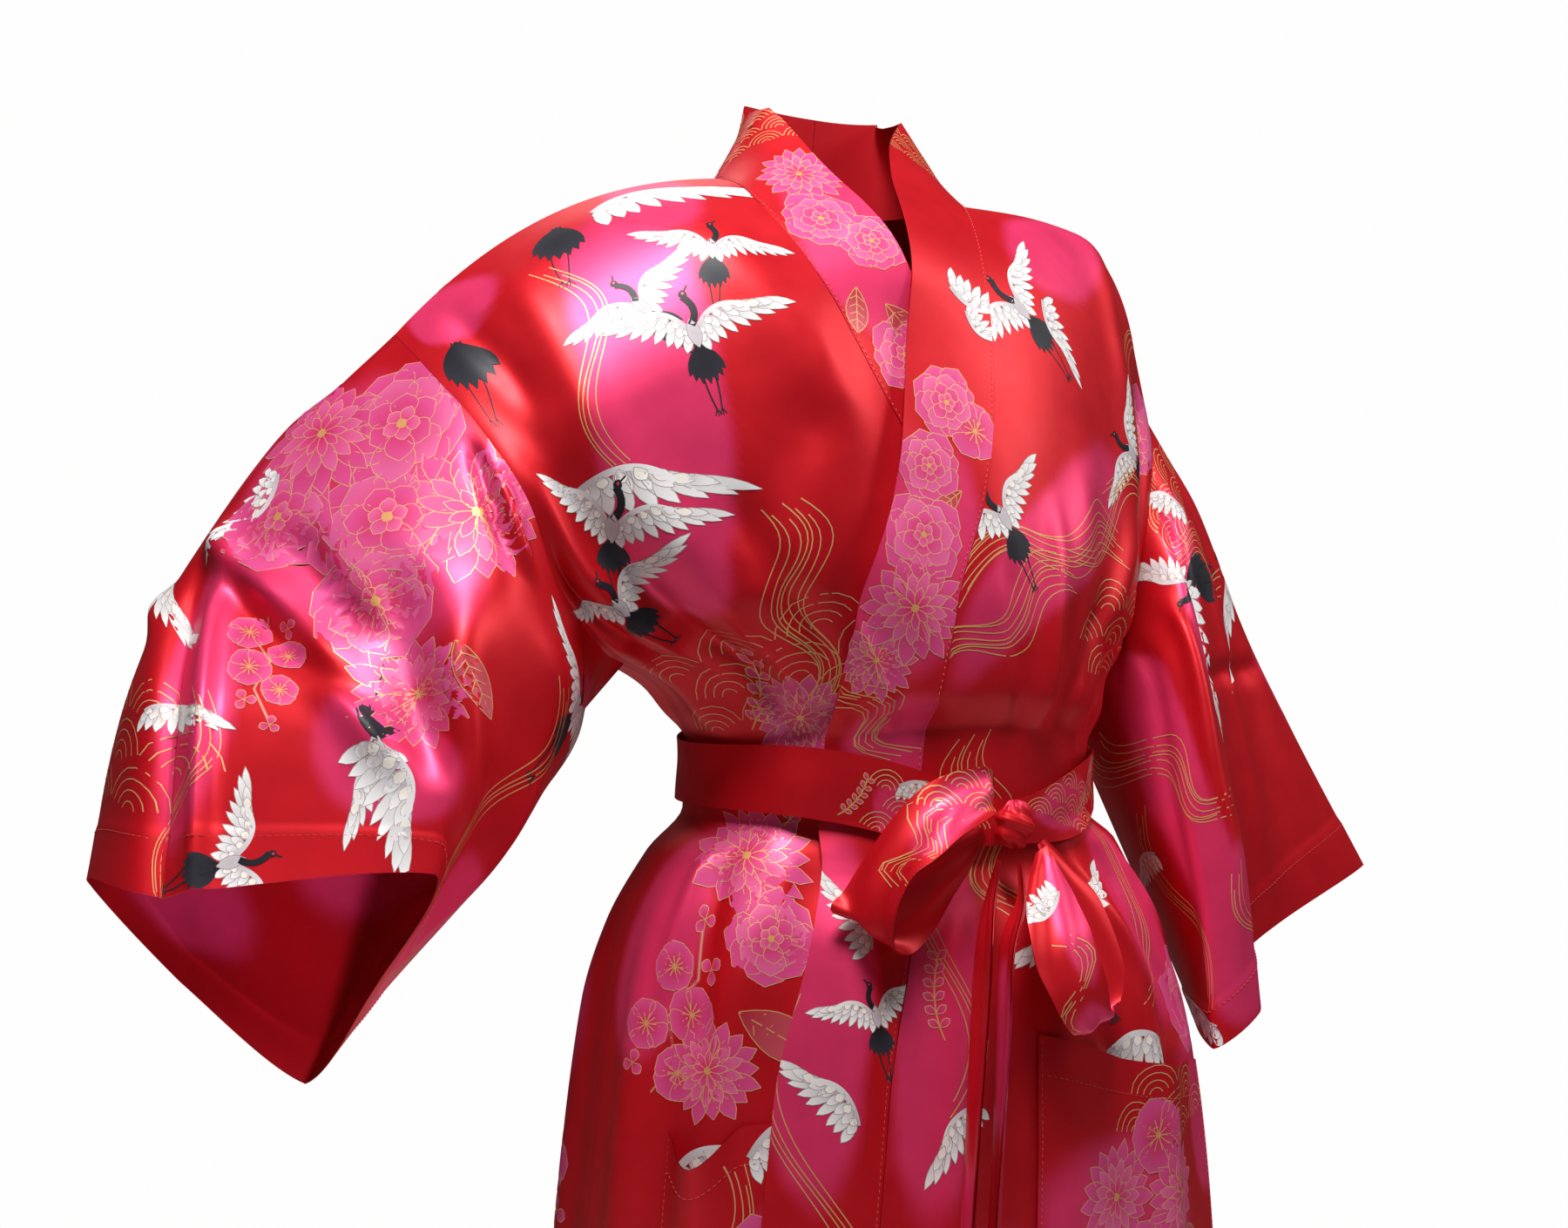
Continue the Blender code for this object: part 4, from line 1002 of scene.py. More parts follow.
# The print of each piece. Columns: the motif, where its middle is, as p and q on the flat piece, its size and
# its turn. The fronts' rows have a and v instead of p and q


def on_front(side, motif, a, v, size, turn):
    """A row of a front's print, with p and q."""
    seam = float(band_angle(side + "_seam", v))
    return (motif, (a - START[side]) / (seam - START[side]) * PANEL_WIDTH, v, size, turn)


FRONT_PRINT = {
    "right": (
        ("wing", -0.44, 0.022, 0.085, 0.05), ("tail", -0.5, 0.018, 0.085, 0.35),
        ("tail", -0.8, 0.04, 0.09, 0.25), ("crane", -0.34, 0.092, 0.046, 0.5),
        ("crane", -0.48, 0.108, 0.05, -0.3), ("crane", -0.42, 0.138, 0.056, 0.2),
        ("stream", -0.6, 0.12, 0.16, 0.15), ("wing", -0.74, 0.18, 0.06, 0.35),
        ("crane", -0.69, 0.212, 0.055, 0.5), ("crane", -0.77, 0.262, 0.05, -0.2),
        ("water", -0.42, 0.325, 0.14, 0.45), ("ripples", -0.62, 0.37, 0.1, 0.1),
        ("chrysanthemum", -0.56, 0.395, 0.032, 0.2), ("sprig", -0.72, 0.4, 0.05, 0.5),
        ("sprig", -0.62, 0.47, 0.04, 0.2), ("chrysanthemum", -0.66, 0.492, 0.04, 0.4),
        ("peony", -0.54, 0.54, 0.03, 0.9), ("leaf", -0.6, 0.585, 0.06, 2.1),
        ("branch", -0.8, 0.64, 0.11, 0.2), ("chrysanthemum", -0.66, 0.622, 0.032, 0),
        ("wing", -0.74, 0.7, 0.075, -0.5), ("wing", -0.55, 0.69, 0.055, 0.6), ("water", -0.4, 0.62, 0.2, 0.3),
        ("crane", -0.28, 0.56, 0.055, 0.7), ("peony", -0.3, 0.8, 0.042, 0.1),
        ("chrysanthemum", -0.58, 0.85, 0.048, 0.4), ("peony", -0.72, 0.9, 0.04, 0.8),
        ("leaf", -0.5, 0.9, 0.06, 0.5), ("water", -0.85, 0.95, 0.22, 0.3), ("crane", -0.4, 1, 0.08, 0.5),
        ("crane", -0.6, 1.06, 0.06, -0.6), ("ripples", -0.24, 1.06, 0.12, 0),
        ("branch", -0.7, 1.26, 0.14, 0.3), ("chrysanthemum", -0.42, 1.2, 0.05, 0.1),
        ("peony", -0.28, 1.26, 0.045, 0.6), ("wing", -0.86, 1.18, 0.09, 0.8),
        ("stream", -0.12, 0.94, 0.3, 0.2), ("crane", -0.1, 1.2, 0.07, 0.9),
    ),
    "left": (
        ("crane", 0.19, 0.128, 0.06, 1), ("wing", 0.26, 0.118, 0.045, 2.2), ("stream", 0.6, 0.13, 0.2, -0.5),
        ("crane", 0.56, 0.175, 0.05, 1.2), ("peony", 0.8, 0.09, 0.038, 0.2),
        ("crane", 0.06, 0.278, 0.052, 0.9), ("water", 0.22, 0.285, 0.2, -0.95),
        ("water", 0.02, 0.345, 0.15, -0.75), ("stream", 0.46, 0.24, 0.16, -0.9),
        ("ripples", 0.6, 0.32, 0.08, 0.3), ("water", -0.02, 0.47, 0.12, 0.2),
        ("sprig", -0.19, 0.6, 0.05, 0.2), ("wing", -0.13, 0.64, 0.045, 0.9), ("wing", 0.36, 0.618, 0.06, 0.1),
        ("stream", -0.16, 0.56, 0.18, 0.1), ("crane", 0.2, 0.545, 0.06, 0.4),
        ("stream", 0.5, 0.52, 0.18, -0.4), ("peony", 0.64, 0.6, 0.04, 0.3),
        ("chrysanthemum", 0.78, 0.7, 0.042, 0.1), ("chrysanthemum", 0.02, 0.76, 0.04, 0.2),
        ("peony", 0.26, 0.83, 0.045, 0.7), ("ripples", 0.5, 0.8, 0.11, 0.1), ("water", 0.1, 0.92, 0.22, 0.5),
        ("crane", 0.5, 0.96, 0.08, -0.4), ("crane", 0.7, 1.04, 0.06, 0.5), ("branch", 0.2, 1.16, 0.13, -0.3),
        ("chrysanthemum", 0.46, 1.16, 0.05, 0.6), ("leaf", 0.6, 1.18, 0.06, 1.1),
        ("wing", 0.82, 0.9, 0.08, -0.7), ("peony", 0.76, 1.24, 0.045, 0.2), ("wing", 0.06, 1.26, 0.07, 0.5),
        ("water", 0.34, 1.28, 0.2, 1.2), ("crane", -0.1, 1.06, 0.06, 0.2),
    ),
}
BACK_PRINT = (
    ("crane", -0.22, 0.1, 0.085, 0.5), ("crane", -0.12, 0.17, 0.06, -0.4), ("peony", 0.1, 0.12, 0.045, 0.2),
    ("chrysanthemum", 0.16, 0.18, 0.048, 0.5), ("leaf", 0.09, 0.2, 0.06, 1.4),
    ("water", -0.02, 0.24, 0.24, 0.9), ("crane", 0.02, 0.3, 0.06, 0.9), ("branch", 0.24, 0.3, 0.13, -0.5),
    ("ripples", -0.2, 0.31, 0.12, 0.2), ("wing", -0.3, 0.24, 0.08, -0.6), ("wing", 0.3, 0.16, 0.075, 0.7),
    ("chrysanthemum", -0.1, 0.38, 0.04, 0.1), ("peony", -0.24, 0.55, 0.05, 0.3),
    ("chrysanthemum", -0.15, 0.6, 0.045, 0.7), ("leaf", -0.22, 0.64, 0.07, 2.4),
    ("branch", -0.32, 0.76, 0.14, 0.3), ("water", 0.02, 0.62, 0.26, 0.4), ("crane", 0.14, 0.56, 0.08, -0.6),
    ("crane", 0.24, 0.66, 0.065, 0.5), ("wing", 0.04, 0.76, 0.085, 0.4), ("peony", 0.2, 0.82, 0.05, 0.1),
    ("chrysanthemum", 0.3, 0.88, 0.05, 0.5), ("ripples", 0.1, 0.93, 0.14, 0),
    ("water", -0.16, 0.9, 0.28, 0.6), ("crane", -0.04, 1, 0.085, 0.4), ("crane", -0.26, 1.02, 0.065, -0.5),
    ("branch", 0.28, 1.14, 0.15, -0.2), ("chrysanthemum", -0.2, 1.14, 0.052, 0.1),
    ("peony", -0.1, 1.2, 0.048, 0.6), ("leaf", -0.16, 1.26, 0.07, 0.9), ("water", 0.12, 1.16, 0.24, 0.3),
    ("wing", -0.34, 1.22, 0.085, 0.5), ("wing", 0.18, 1.28, 0.08, -0.4), ("peony", 0.34, 0.48, 0.042, 0.3),
    ("wing", -0.04, 0.5, 0.06, 1.1),
)
SLEEVE_PRINT = {
    "right": (
        ("peony", 0.055, 0.05, 0.048, 0.2), ("chrysanthemum", 0.125, 0.055, 0.048, 0.4),
        ("chrysanthemum", 0.02, 0.1, 0.044, 0.9), ("peony", 0.085, 0.115, 0.05, 0.1),
        ("peony", 0.03, 0.155, 0.04, 0.5), ("wing", 0.01, 0.135, 0.05, 1.7), ("peony", 0.1, 0.17, 0.042, 0.8),
        ("chrysanthemum", 0.13, 0.225, 0.036, 0.2), ("branch", 0.05, 0.212, 0.1, 3),
        ("landing", 0.112, 0.282, 0.07, 0.05), ("crane", 0.042, 0.366, 0.046, 1.3),
        ("wing", -0.03, 0.285, 0.045, 0.4), ("stream", 0.01, 0.33, 0.13, 0.2),
        ("stream", 0.205, 0.25, 0.18, 0.1), ("leaf", 0.15, 0.165, 0.05, 2.4),
        ("crane", 0.24, 0.12, 0.06, 0.5), ("water", 0.27, 0.26, 0.2, 0.3), ("peony", -0.08, 0.08, 0.045, 0.1),
        ("chrysanthemum", -0.14, 0.11, 0.045, 0.4), ("crane", -0.1, 0.2, 0.075, 0.4),
        ("water", -0.18, 0.26, 0.2, 0.4), ("wing", -0.24, 0.14, 0.07, 0.2),
        ("branch", -0.28, 0.34, 0.12, 0.2), ("ripples", -0.1, 0.31, 0.1, 0.2),
        ("peony", -0.3, 0.07, 0.04, 0.5),
    ),
    "left": (
        ("ripples", 0.06, 0.04, 0.06, 0.6), ("wing", 0.075, 0.07, 0.045, -0.9),
        ("water", 0.085, 0.11, 0.1, 0.9), ("crane", 0.14, 0.105, 0.07, 1.7),
        ("stream", 0.29, 0.27, 0.16, 0.2), ("water", 0.27, 0.18, 0.12, 0.8), ("wing", 0.3, 0.225, 0.045, 0.4),
        ("wing", 0.275, 0.365, 0.05, 0.2), ("stream", 0.2, 0.33, 0.12, 0.5),
        ("crane", -0.02, 0.16, 0.06, 0.6), ("peony", -0.06, 0.06, 0.042, 0.3),
        ("chrysanthemum", -0.12, 0.1, 0.045, 0.6), ("leaf", -0.16, 0.15, 0.055, 1.6),
        ("crane", -0.14, 0.24, 0.075, -0.5), ("water", -0.24, 0.21, 0.22, 0.4),
        ("branch", -0.08, 0.35, 0.12, 0.3), ("peony", -0.26, 0.32, 0.045, 0.2),
        ("wing", -0.3, 0.12, 0.065, -0.3),
    ),
}
BAND_PRINT = {
    "right": (
        ("chrysanthemum", 0.046, 0.052, 0.03, 0.2), ("ripples", 0.05, 0.01, 0.05, 0.3),
        ("water", 0.05, -0.045, 0.09, 0.2), ("peony", 0.03, 0.085, 0.028, 0.6),
        ("peony", 0.052, 0.108, 0.024, 0.1), ("leaf", 0.04, 0.14, 0.045, 2.7),
        ("leaf", 0.022, 0.13, 0.035, 3.6), ("peony", 0.036, 0.17, 0.026, 0.3),
        ("chrysanthemum", 0.05, 0.2, 0.026, 0.3), ("water", 0.03, 0.26, 0.1, 0.2),
        ("chrysanthemum", 0.04, 0.33, 0.028, 0.3), ("peony", 0.036, 0.56, 0.03, 0.3),
        ("water", 0.036, 0.7, 0.2, 0.2), ("crane", 0.036, 0.86, 0.055, 0.3),
        ("chrysanthemum", 0.036, 1.02, 0.032, 0.3), ("wing", 0.036, 1.18, 0.055, 0.3),
    ),
    "left": (
        ("ripples", 0.05, 0.02, 0.045, 0.3), ("wing", 0.038, 0.128, 0.055, 3.1),
        ("wing", 0.024, 0.14, 0.038, 2.6), ("peony", 0.04, 0.204, 0.026, 0.5),
        ("plum", 0.016, 0.222, 0.02, 0.2), ("peony", 0.048, 0.246, 0.024, 0.4),
        ("leaf", 0.02, 0.262, 0.03, 2.5), ("peony", 0.04, 0.29, 0.03, 0.2),
        ("chrysanthemum", 0.032, 0.334, 0.034, 0.6), ("chrysanthemum", 0.05, 0.362, 0.026, 0.2),
        ("water", 0.045, 0.395, 0.07, 0.7), ("wing", 0.028, 0.545, 0.046, -0.8),
        ("crane", 0.016, 0.585, 0.04, 0.4), ("wing", 0.018, 0.65, 0.05, -0.6),
        ("stream", 0.04, 0.69, 0.24, 0.3), ("peony", 0.036, 0.83, 0.034, 0.4),
        ("water", 0.036, 0.93, 0.14, 0.1), ("crane", 0.036, 1.06, 0.055, 0.5),
        ("chrysanthemum", 0.036, 1.2, 0.034, 0.2), ("ripples", 0.036, 1.29, 0.07, 0.2),
    ),
}
POCKET_PRINT = {
    "right": (
        ("wing", 0.06, 0.02, 0.06, -0.4), ("peony", 0.075, 0.095, 0.038, 0.5),
        ("chrysanthemum", 0.12, 0.13, 0.032, 0.2), ("stream", 0.03, 0.09, 0.14, 0.3),
    ),
    "left": (
        ("ripples", 0.055, 0.03, 0.08, 0.1), ("plum", 0.09, 0.05, 0.026, 0.3),
        ("chrysanthemum", 0.07, 0.09, 0.034, 0.1), ("chrysanthemum", 0.125, 0.095, 0.036, 0.5),
        ("peony", 0.095, 0.14, 0.034, 0.4), ("leaf", 0.03, 0.13, 0.04, 1),
    ),
}
BELT_PRINT = {
    "front": (
        ("wing", -0.118, -0.01, 0.032, 0.3), ("ripples", -0.095, 0.01, 0.05, 0.2),
        ("water", -0.06, 0.004, 0.06, 0.3), ("ripples", 0.12, 0, 0.05, 0.4),
        ("sprig", 0.16, 0.01, 0.035, 0.9), ("leaf", 0.2, 0.01, 0.035, 0.4), ("water", 0.28, 0, 0.06, 1.2),
        ("sprig", -0.19, 0.018, 0.028, 0.7),
    ),
    "back": (
        ("peony", -0.25, 0, 0.024, 0.1), ("water", -0.1, 0, 0.1, 1.4), ("chrysanthemum", 0.06, 0, 0.024, 0.1),
        ("wing", 0.18, 0, 0.03, 0.5), ("ripples", 0.32, 0, 0.05, 0),
    ),
}
BOW_PRINT = {
    "bow_loop_right": (("ripples", 0.000, 0.030, 0.050, 1.0), ("water", -0.008, 0.075, 0.06, 0.2)),
    "bow_loop_left": (("wing", 0.008, 0.045, 0.042, 2.6), ("stream", -0.006, 0.110, 0.07, 0.1)),
    "belt_tail_left": (
        ("stream", 0, 0.12, 0.1, 0.1), ("peony", 0.004, 0.22, 0.022, 0.1), ("crane", 0, 0.34, 0.036, 0.1),
    ),
    "belt_tail_right": (("wing", 0.000, 0.180, 0.034, 2.8), ("water", 0.000, 0.280, 0.08, 0.1)),
}

# Clouds of pink in the dye. Columns: where each is, as p and q, its half sizes across and down, and its turn
CLOUDS = {
    "front_right": (
        (0.226, 0.16, 0.056, 0.15, 0.55), (0.175, 0.245, 0.04, 0.06, 0.5), (0.12, 0.02, 0.06, 0.022, 0.1),
        (0.33, 0.03, 0.035, 0.04, 0.3), (0.06, 0.55, 0.05, 0.08, 0.3), (0.3, 0.64, 0.06, 0.16, -0.3),
        (0.12, 0.8, 0.07, 0.09, 0.3), (0.28, 0.96, 0.08, 0.1, 0.5), (0.1, 1.12, 0.08, 0.11, -0.4),
        (0.31, 1.25, 0.07, 0.08, 0.2),
    ),
    "front_left": (
        (0.308, 0.066, 0.066, 0.046, 0.2), (0.305, 0.285, 0.042, 0.125, -0.78),
        (0.165, 0.53, 0.048, 0.075, 0.2), (0.375, 0.585, 0.028, 0.12, 0), (0.33, 0.78, 0.06, 0.07, 0.5),
        (0.1, 0.7, 0.07, 0.09, 0.3), (0.26, 0.9, 0.09, 0.1, -0.3), (0.1, 1.06, 0.07, 0.09, 0.3),
        (0.3, 1.2, 0.08, 0.09, 0.4),
    ),
    "back": (
        (-0.2, 0.12, 0.1, 0.08, 0.3), (0.16, 0.22, 0.12, 0.07, -0.5), (-0.08, 0.34, 0.1, 0.06, 0.5),
        (0.24, 0.52, 0.1, 0.09, 0.2), (-0.24, 0.6, 0.11, 0.1, -0.4), (0.02, 0.72, 0.1, 0.09, 0.4),
        (-0.14, 0.92, 0.11, 0.1, 0.2), (0.26, 0.88, 0.1, 0.12, -0.2), (0.06, 1.1, 0.12, 0.1, 0.3),
        (-0.28, 1.2, 0.09, 0.09, 0.5), (0.28, 1.26, 0.1, 0.08, 0),
    ),
    "sleeve_right": (
        (0.07, 0.11, 0.08, 0.11, 0.1), (0.01, 0.27, 0.03, 0.08, 0.1), (0.12, 0.29, 0.04, 0.05, 0.2),
        (-0.1, 0.12, 0.07, 0.07, 0.4), (-0.18, 0.3, 0.08, 0.06, 0.3), (0.25, 0.33, 0.05, 0.04, 0.2),
        (-0.29, 0.16, 0.05, 0.08, 0.2), (0.29, 0.09, 0.05, 0.06, 0.2),
    ),
    "sleeve_left": (
        (0.13, 0.09, 0.09, 0.04, 0.8), (0.265, 0.18, 0.028, 0.17, 0.1), (0.23, 0.32, 0.05, 0.06, 0.3),
        (-0.06, 0.23, 0.07, 0.08, 0.2), (-0.2, 0.11, 0.07, 0.07, 0.4), (-0.26, 0.3, 0.06, 0.06, 0.1),
    ),
    "collar_right": (
        (0.04, 0.1, 0.04, 0.06, 0.2), (0.045, 0.33, 0.03, 0.08, 0.2), (0.03, 0.7, 0.04, 0.1, 0.2),
        (0.03, 1.1, 0.04, 0.12, 0.2),
    ),
    "collar_left": (
        (0.04, 0.3, 0.045, 0.08, 0.2), (0.048, 0.59, 0.034, 0.11, 0.1), (0.02, 0.42, 0.04, 0.04, 0.2),
        (0.036, 0.86, 0.05, 0.09, 0.4), (0.036, 1.14, 0.05, 0.1, 0.2),
    ),
    "pocket_right": ((0.110, 0.090, 0.060, 0.050, 0.4), (0.020, 0.130, 0.030, 0.040, 0.2)),
    "pocket_left": ((0.110, 0.110, 0.070, 0.060, 0.3), (0.010, 0.040, 0.020, 0.050, 0.0)),
    "belt_front": ((-0.120, 0.010, 0.030, 0.020, 0.2), (0.130, 0.000, 0.070, 0.018, 0.1)),
    "belt_back": ((-0.150, 0.000, 0.070, 0.020, 0.1), (0.150, 0.000, 0.060, 0.020, 0.1)),
    "bow_loop_right": ((0.000, 0.045, 0.020, 0.036, 0.3),),
    "bow_loop_left": ((0.012, 0.060, 0.016, 0.050, 0.0), (0.000, 0.150, 0.024, 0.030, 0.1)),
    "belt_tail_left": ((0.000, 0.200, 0.030, 0.060, 0.1),),
    "belt_tail_right": ((0.000, 0.300, 0.030, 0.060, 0.1),),
}


# The silk: each ink is a colour at its motif's root and one at its tip


RED = (0.62, 0.006, 0.014)
PINK = (0.84, 0.040, 0.150)
METAL = {"silk": 0.40, "petal": 0.15, "petal_pale": 0.15, "leaf": 0.2, "gold": 0.3}
INK_GLOSS = {"black": 0.15, "white": 0.3, "cream": 0.3}
WHITE = (1, 1, 1, 1)
HIGHLIGHT = (1.0, 0.58, 0.58, 1)
SATIN_ROUGHNESS = (0.38, 0.50)
INSIDE_ROUGHNESS = (0.62, 0.62)
INK_COLORS = {
    "silk": (RED, PINK),
    "gold": ((0.74, 0.36, 0.13), (0.80, 0.44, 0.20)),
    "petal": ((0.62, 0.012, 0.085), (0.76, 0.085, 0.29)),
    "petal_pale": ((0.66, 0.022, 0.12), (0.80, 0.14, 0.35)),
    "leaf": ((0.46, 0.02, 0.04), (0.70, 0.13, 0.17)),
    "white": ((0.50, 0.44, 0.47), (0.92, 0.91, 0.89)),
    "cream": ((0.80, 0.72, 0.62), (0.92, 0.88, 0.80)),
    "shade": ((0.26, 0.20, 0.20), (0.42, 0.34, 0.32)),
    "black": ((0.012, 0.010, 0.014), (0.03, 0.03, 0.04)),
    "crown": ((0.70, 0.02, 0.03), (0.75, 0.03, 0.04)),
}
INKS = tuple(INK_COLORS)
REVERSE_DARK = 0.6
REVERSE_DYE = 0.85
SHOWS_THROUGH = 0.28


def new_material(name):
    material = bpy.data.materials.new(name)
    material.use_nodes = True
    return material, material.node_tree, material.node_tree.nodes["Principled BSDF"]


def fill(tree, node, inputs):
    """Sets a node's inputs, each to a value or to another node's output."""
    for key, value in inputs.items():
        if isinstance(value, bpy.types.NodeSocket):
            tree.links.new(value, node.inputs[key])
        else:
            node.inputs[key].default_value = value
    return node


def add(tree, kind, output, inputs):
    """One output of a new node."""
    return fill(tree, tree.nodes.new("ShaderNode" + kind), inputs).outputs[output]


def mixed(tree, blend, factor, low, high):
    mix = tree.nodes.new("ShaderNodeMix")
    mix.data_type, mix.blend_type = "RGBA", blend
    return fill(tree, mix, {"Factor": factor, 6: low, 7: high}).outputs[2]


def ramp(tree, value, low, high, low_at=0.0, high_at=1.0):
    made = fill(tree, tree.nodes.new("ShaderNodeValToRGB"), {"Fac": value})
    for number, (at, color) in enumerate(((low_at, low), (high_at, high))):
        made.color_ramp.elements[number].position = at
        made.color_ramp.elements[number].color = color
    return made.outputs["Color"]


def silk_material(name, low, high, inside=False):
    """Printed satin: ink over the dye, with a fine weave and a soft unevenness in the gloss."""
    material, tree, shader = new_material(name)
    place = add(tree, "TexCoord", "Object", {})
    dye = tree.nodes.new("ShaderNodeAttribute")
    dye.attribute_name = "dye"
    channel = "Red" if name.endswith("silk") else "Green"
    tone = add(tree, "SeparateColor", channel, {"Color": dye.outputs["Color"]})
    color = mixed(tree, "MIX", tone, (*low, 1), (*high, 1))
    uneven = add(tree, "TexNoise", "Fac", {"Scale": 38.0, "Detail": 4.0, "Vector": place})
    shade = ramp(tree, uneven, (0.62, 0.56, 0.58, 1), WHITE, 0.30, 0.70)
    low_gloss, high_gloss = INSIDE_ROUGHNESS if inside else SATIN_ROUGHNESS
    gloss = {"To Min": low_gloss, "To Max": high_gloss, "Value": uneven}
    weave = add(tree, "TexWave", "Fac", {"Scale": 520.0, "Distortion": 1.2, "Vector": place})
    ripple = add(tree, "TexNoise", "Fac", {"Scale": 26.0, "Detail": 2.0, "Vector": place})
    fine = add(tree, "Bump", "Normal", {"Strength": 0.10, "Distance": 0.00008, "Height": weave})
    soft = {"Strength": 0.35, "Distance": 0.0012, "Height": ripple, "Normal": fine}
    looks = {
        "Base Color": mixed(tree, "MULTIPLY", 0.22, color, shade),
        "Roughness": add(tree, "MapRange", "Result", gloss),
        "Normal": add(tree, "Bump", "Normal", soft),
        "Metallic": 0.15 if inside else METAL.get(name, 0.0),
        "Specular IOR Level": 0.3 if inside else INK_GLOSS.get(name, 0.5),
        "Specular Tint": HIGHLIGHT if name in METAL or inside else WHITE,
        "Coat Weight": 0.0 if inside else 0.05,
        "Coat Roughness": 0.30,
    }
    fill(tree, shader, looks)
    return material


def reverse_colors(ink):
    """An ink as it shows through on the reverse of the cloth, and the dye as it is there."""
    if ink == "silk":
        return [tuple(REVERSE_DYE * part for part in color) for color in INK_COLORS[ink]]
    dye = [(1 - SHOWS_THROUGH) * part * REVERSE_DARK for part in RED]
    return [tuple(base + SHOWS_THROUGH * part for base, part in zip(dye, color)) for color in INK_COLORS[ink]]


SATIN = [silk_material(ink, *INK_COLORS[ink]) for ink in INKS]
SATIN += [silk_material("reverse_" + ink, *reverse_colors(ink), inside=True) for ink in INKS]


# Cutting the cloth: a flat part with its print, carried onto its form


# surface and outside are functions, drawn is rows of print, kind is a key of SPACING and clouds one of CLOUDS
Part = namedtuple("Part", ("surface", "drawn", "p_range", "q_range", "kind", "clouds", "outside"))
SPACING = {
    "front": 0.0052,
    "back": 0.0056,
    "sleeve": 0.0048,
    "collar": 0.0042,
    "pocket": 0.0040,
    "belt": 0.0045,
    "bow": 0.0030,
}
COARSE = 1.0
GAP = 0.00025
BODY_MIDDLE = (0.02, -0.02)
EVERYWHERE = (-math.inf, math.inf)
CLOUD_BORDER = (0.84, 1.12)
CLOUD_WAVER = 0.16
PRINT_MARGIN = 0.004
NORMAL_STEP = 0.0015
WELD = 2e-5
SMALLEST_FACE = 1e-9
INK_LIFT = 0.00015
INK_STEP = 0.000012


def noise(p, q, seed):
    """Waves of five sizes, each turned its own way, as far as 1 up and down."""
    total = np.zeros(np.shape(p))
    for k in range(5):
        turn = seed + 1.9 * k
        scale = 22.0 * 1.7**k
        total += np.sin(scale * (p * math.cos(turn) + q * math.sin(turn)) + 3.1 * turn) / 1.6**k
    return total / 2.4


def cloud_at(name, p, q):
    """How pink the dye is, from 0 to 1."""
    value = np.zeros(np.shape(p))
    for number, (cp, cq, hp, hq, turn) in enumerate(CLOUDS[name]):
        c, s = math.cos(turn), math.sin(turn)
        x, y = p - cp, q - cq
        reach = np.hypot((x * c + y * s) / hp, (-x * s + y * c) / hq)
        border = reach + CLOUD_WAVER * noise(p, q, number)
        value = np.maximum(value, 1 - ease(*CLOUD_BORDER, border))
    return value


def local_frame(surface, p, q, step=0.003):
    """How a step in p and q goes, in metres to the side and down the cloth."""
    ps = np.array([p + step, p - step, p, p], float)
    qs = np.array([q, q, q + step, q - step], float)
    at = surface(ps, qs)
    dp, dq = (at[0] - at[1]) / (2 * step), (at[2] - at[3]) / (2 * step)
    down = unit(dq)
    side = unit(dp - down * (dp @ down))
    return np.array([[dp @ side, dp @ down], [dq @ side, dq @ down]])


def print_parts(part):
    """The print's grids in p and q, each with its ink, its tones and its level."""
    found = []
    start, end = np.array([part.p_range, part.q_range]).T
    for number, (name, p, q, size, turn) in enumerate(part.drawn):
        inside = np.minimum(np.maximum((p, q), start + PRINT_MARGIN), end - PRINT_MARGIN)
        back = np.linalg.inv(local_frame(part.surface, *inside))
        for ink, grid, root, reach, level in MOTIFS[name](size):
            flat = turned(grid, turn) @ back + (p, q)
            low, high = flat.min((0, 1)), flat.max((0, 1))
            if (high < start).any() or (low > end).any():
                continue
            tone = np.clip(np.linalg.norm(grid - root, axis=-1) / reach, 0, 1)
            found.append((INKS.index(ink), np.clip(flat, start, end), tone, level + 2 * (number % 3)))
    return found


def quads(rows, columns, closed=False):
    """The faces of a grid of points, with its last column joined to its first where it is closed."""
    index = np.arange(rows * columns).reshape(rows, columns)
    if closed:
        index = np.concatenate([index, index[:, :1]], axis=1)
    return np.stack([index[:-1, :-1], index[1:, :-1], index[1:, 1:], index[:-1, 1:]], -1).reshape(-1, 4)


def flat_grid(part):
    """A part's mesh as it lies flat: its points in p and q, and its faces."""
    spacing = SPACING[part.kind] * COARSE
    lines = [
        np.linspace(start, end, max(3, round((end - start) / spacing)) + 1)
        for start, end in (part.p_range, part.q_range)
    ]
    p, q = np.meshgrid(*lines)
    columns, rows = map(len, lines)
    return np.stack([p, q], -1).reshape(-1, 2), quads(rows, columns)


def facing(surface, outside, p, q, step, p_range=EVERYWHERE, q_range=EVERYWHERE):
    """The points of a surface at p and q, and their normals, outward."""
    p_low, p_high = np.clip(p - step, *p_range), np.clip(p + step, *p_range)
    q_low, q_high = np.clip(q - step, *q_range), np.clip(q + step, *q_range)
    across = surface(p_high, q) - surface(p_low, q)
    down = surface(p, q_high) - surface(p, q_low)
    points, normals = surface(p, q), unit(np.cross(down, across))
    if (normals * outside(points)).sum() < 0:
        normals = -normals
    return points, normals


def carried(part, flat):
    """The points of a flat part on their form, and their normals, outward."""
    return facing(part.surface, part.outside, *flat.T, NORMAL_STEP, part.p_range, part.q_range)


def border_edges(faces):
    """The edges that only one face has."""
    ends = np.concatenate([faces[:, [k, (k + 1) % 4]] for k in range(4)])
    ends = ends[ends[:, 0] != ends[:, 1]]
    _, first, count = np.unique(np.sort(ends, axis=1), axis=0, return_index=True, return_counts=True)
    return ends[first[count == 1]]


def crossed_diagonals(points, faces):
    """The way each face faces, as long as twice its area."""
    return np.cross(points[faces[:, 2]] - points[faces[:, 0]], points[faces[:, 3]] - points[faces[:, 1]])


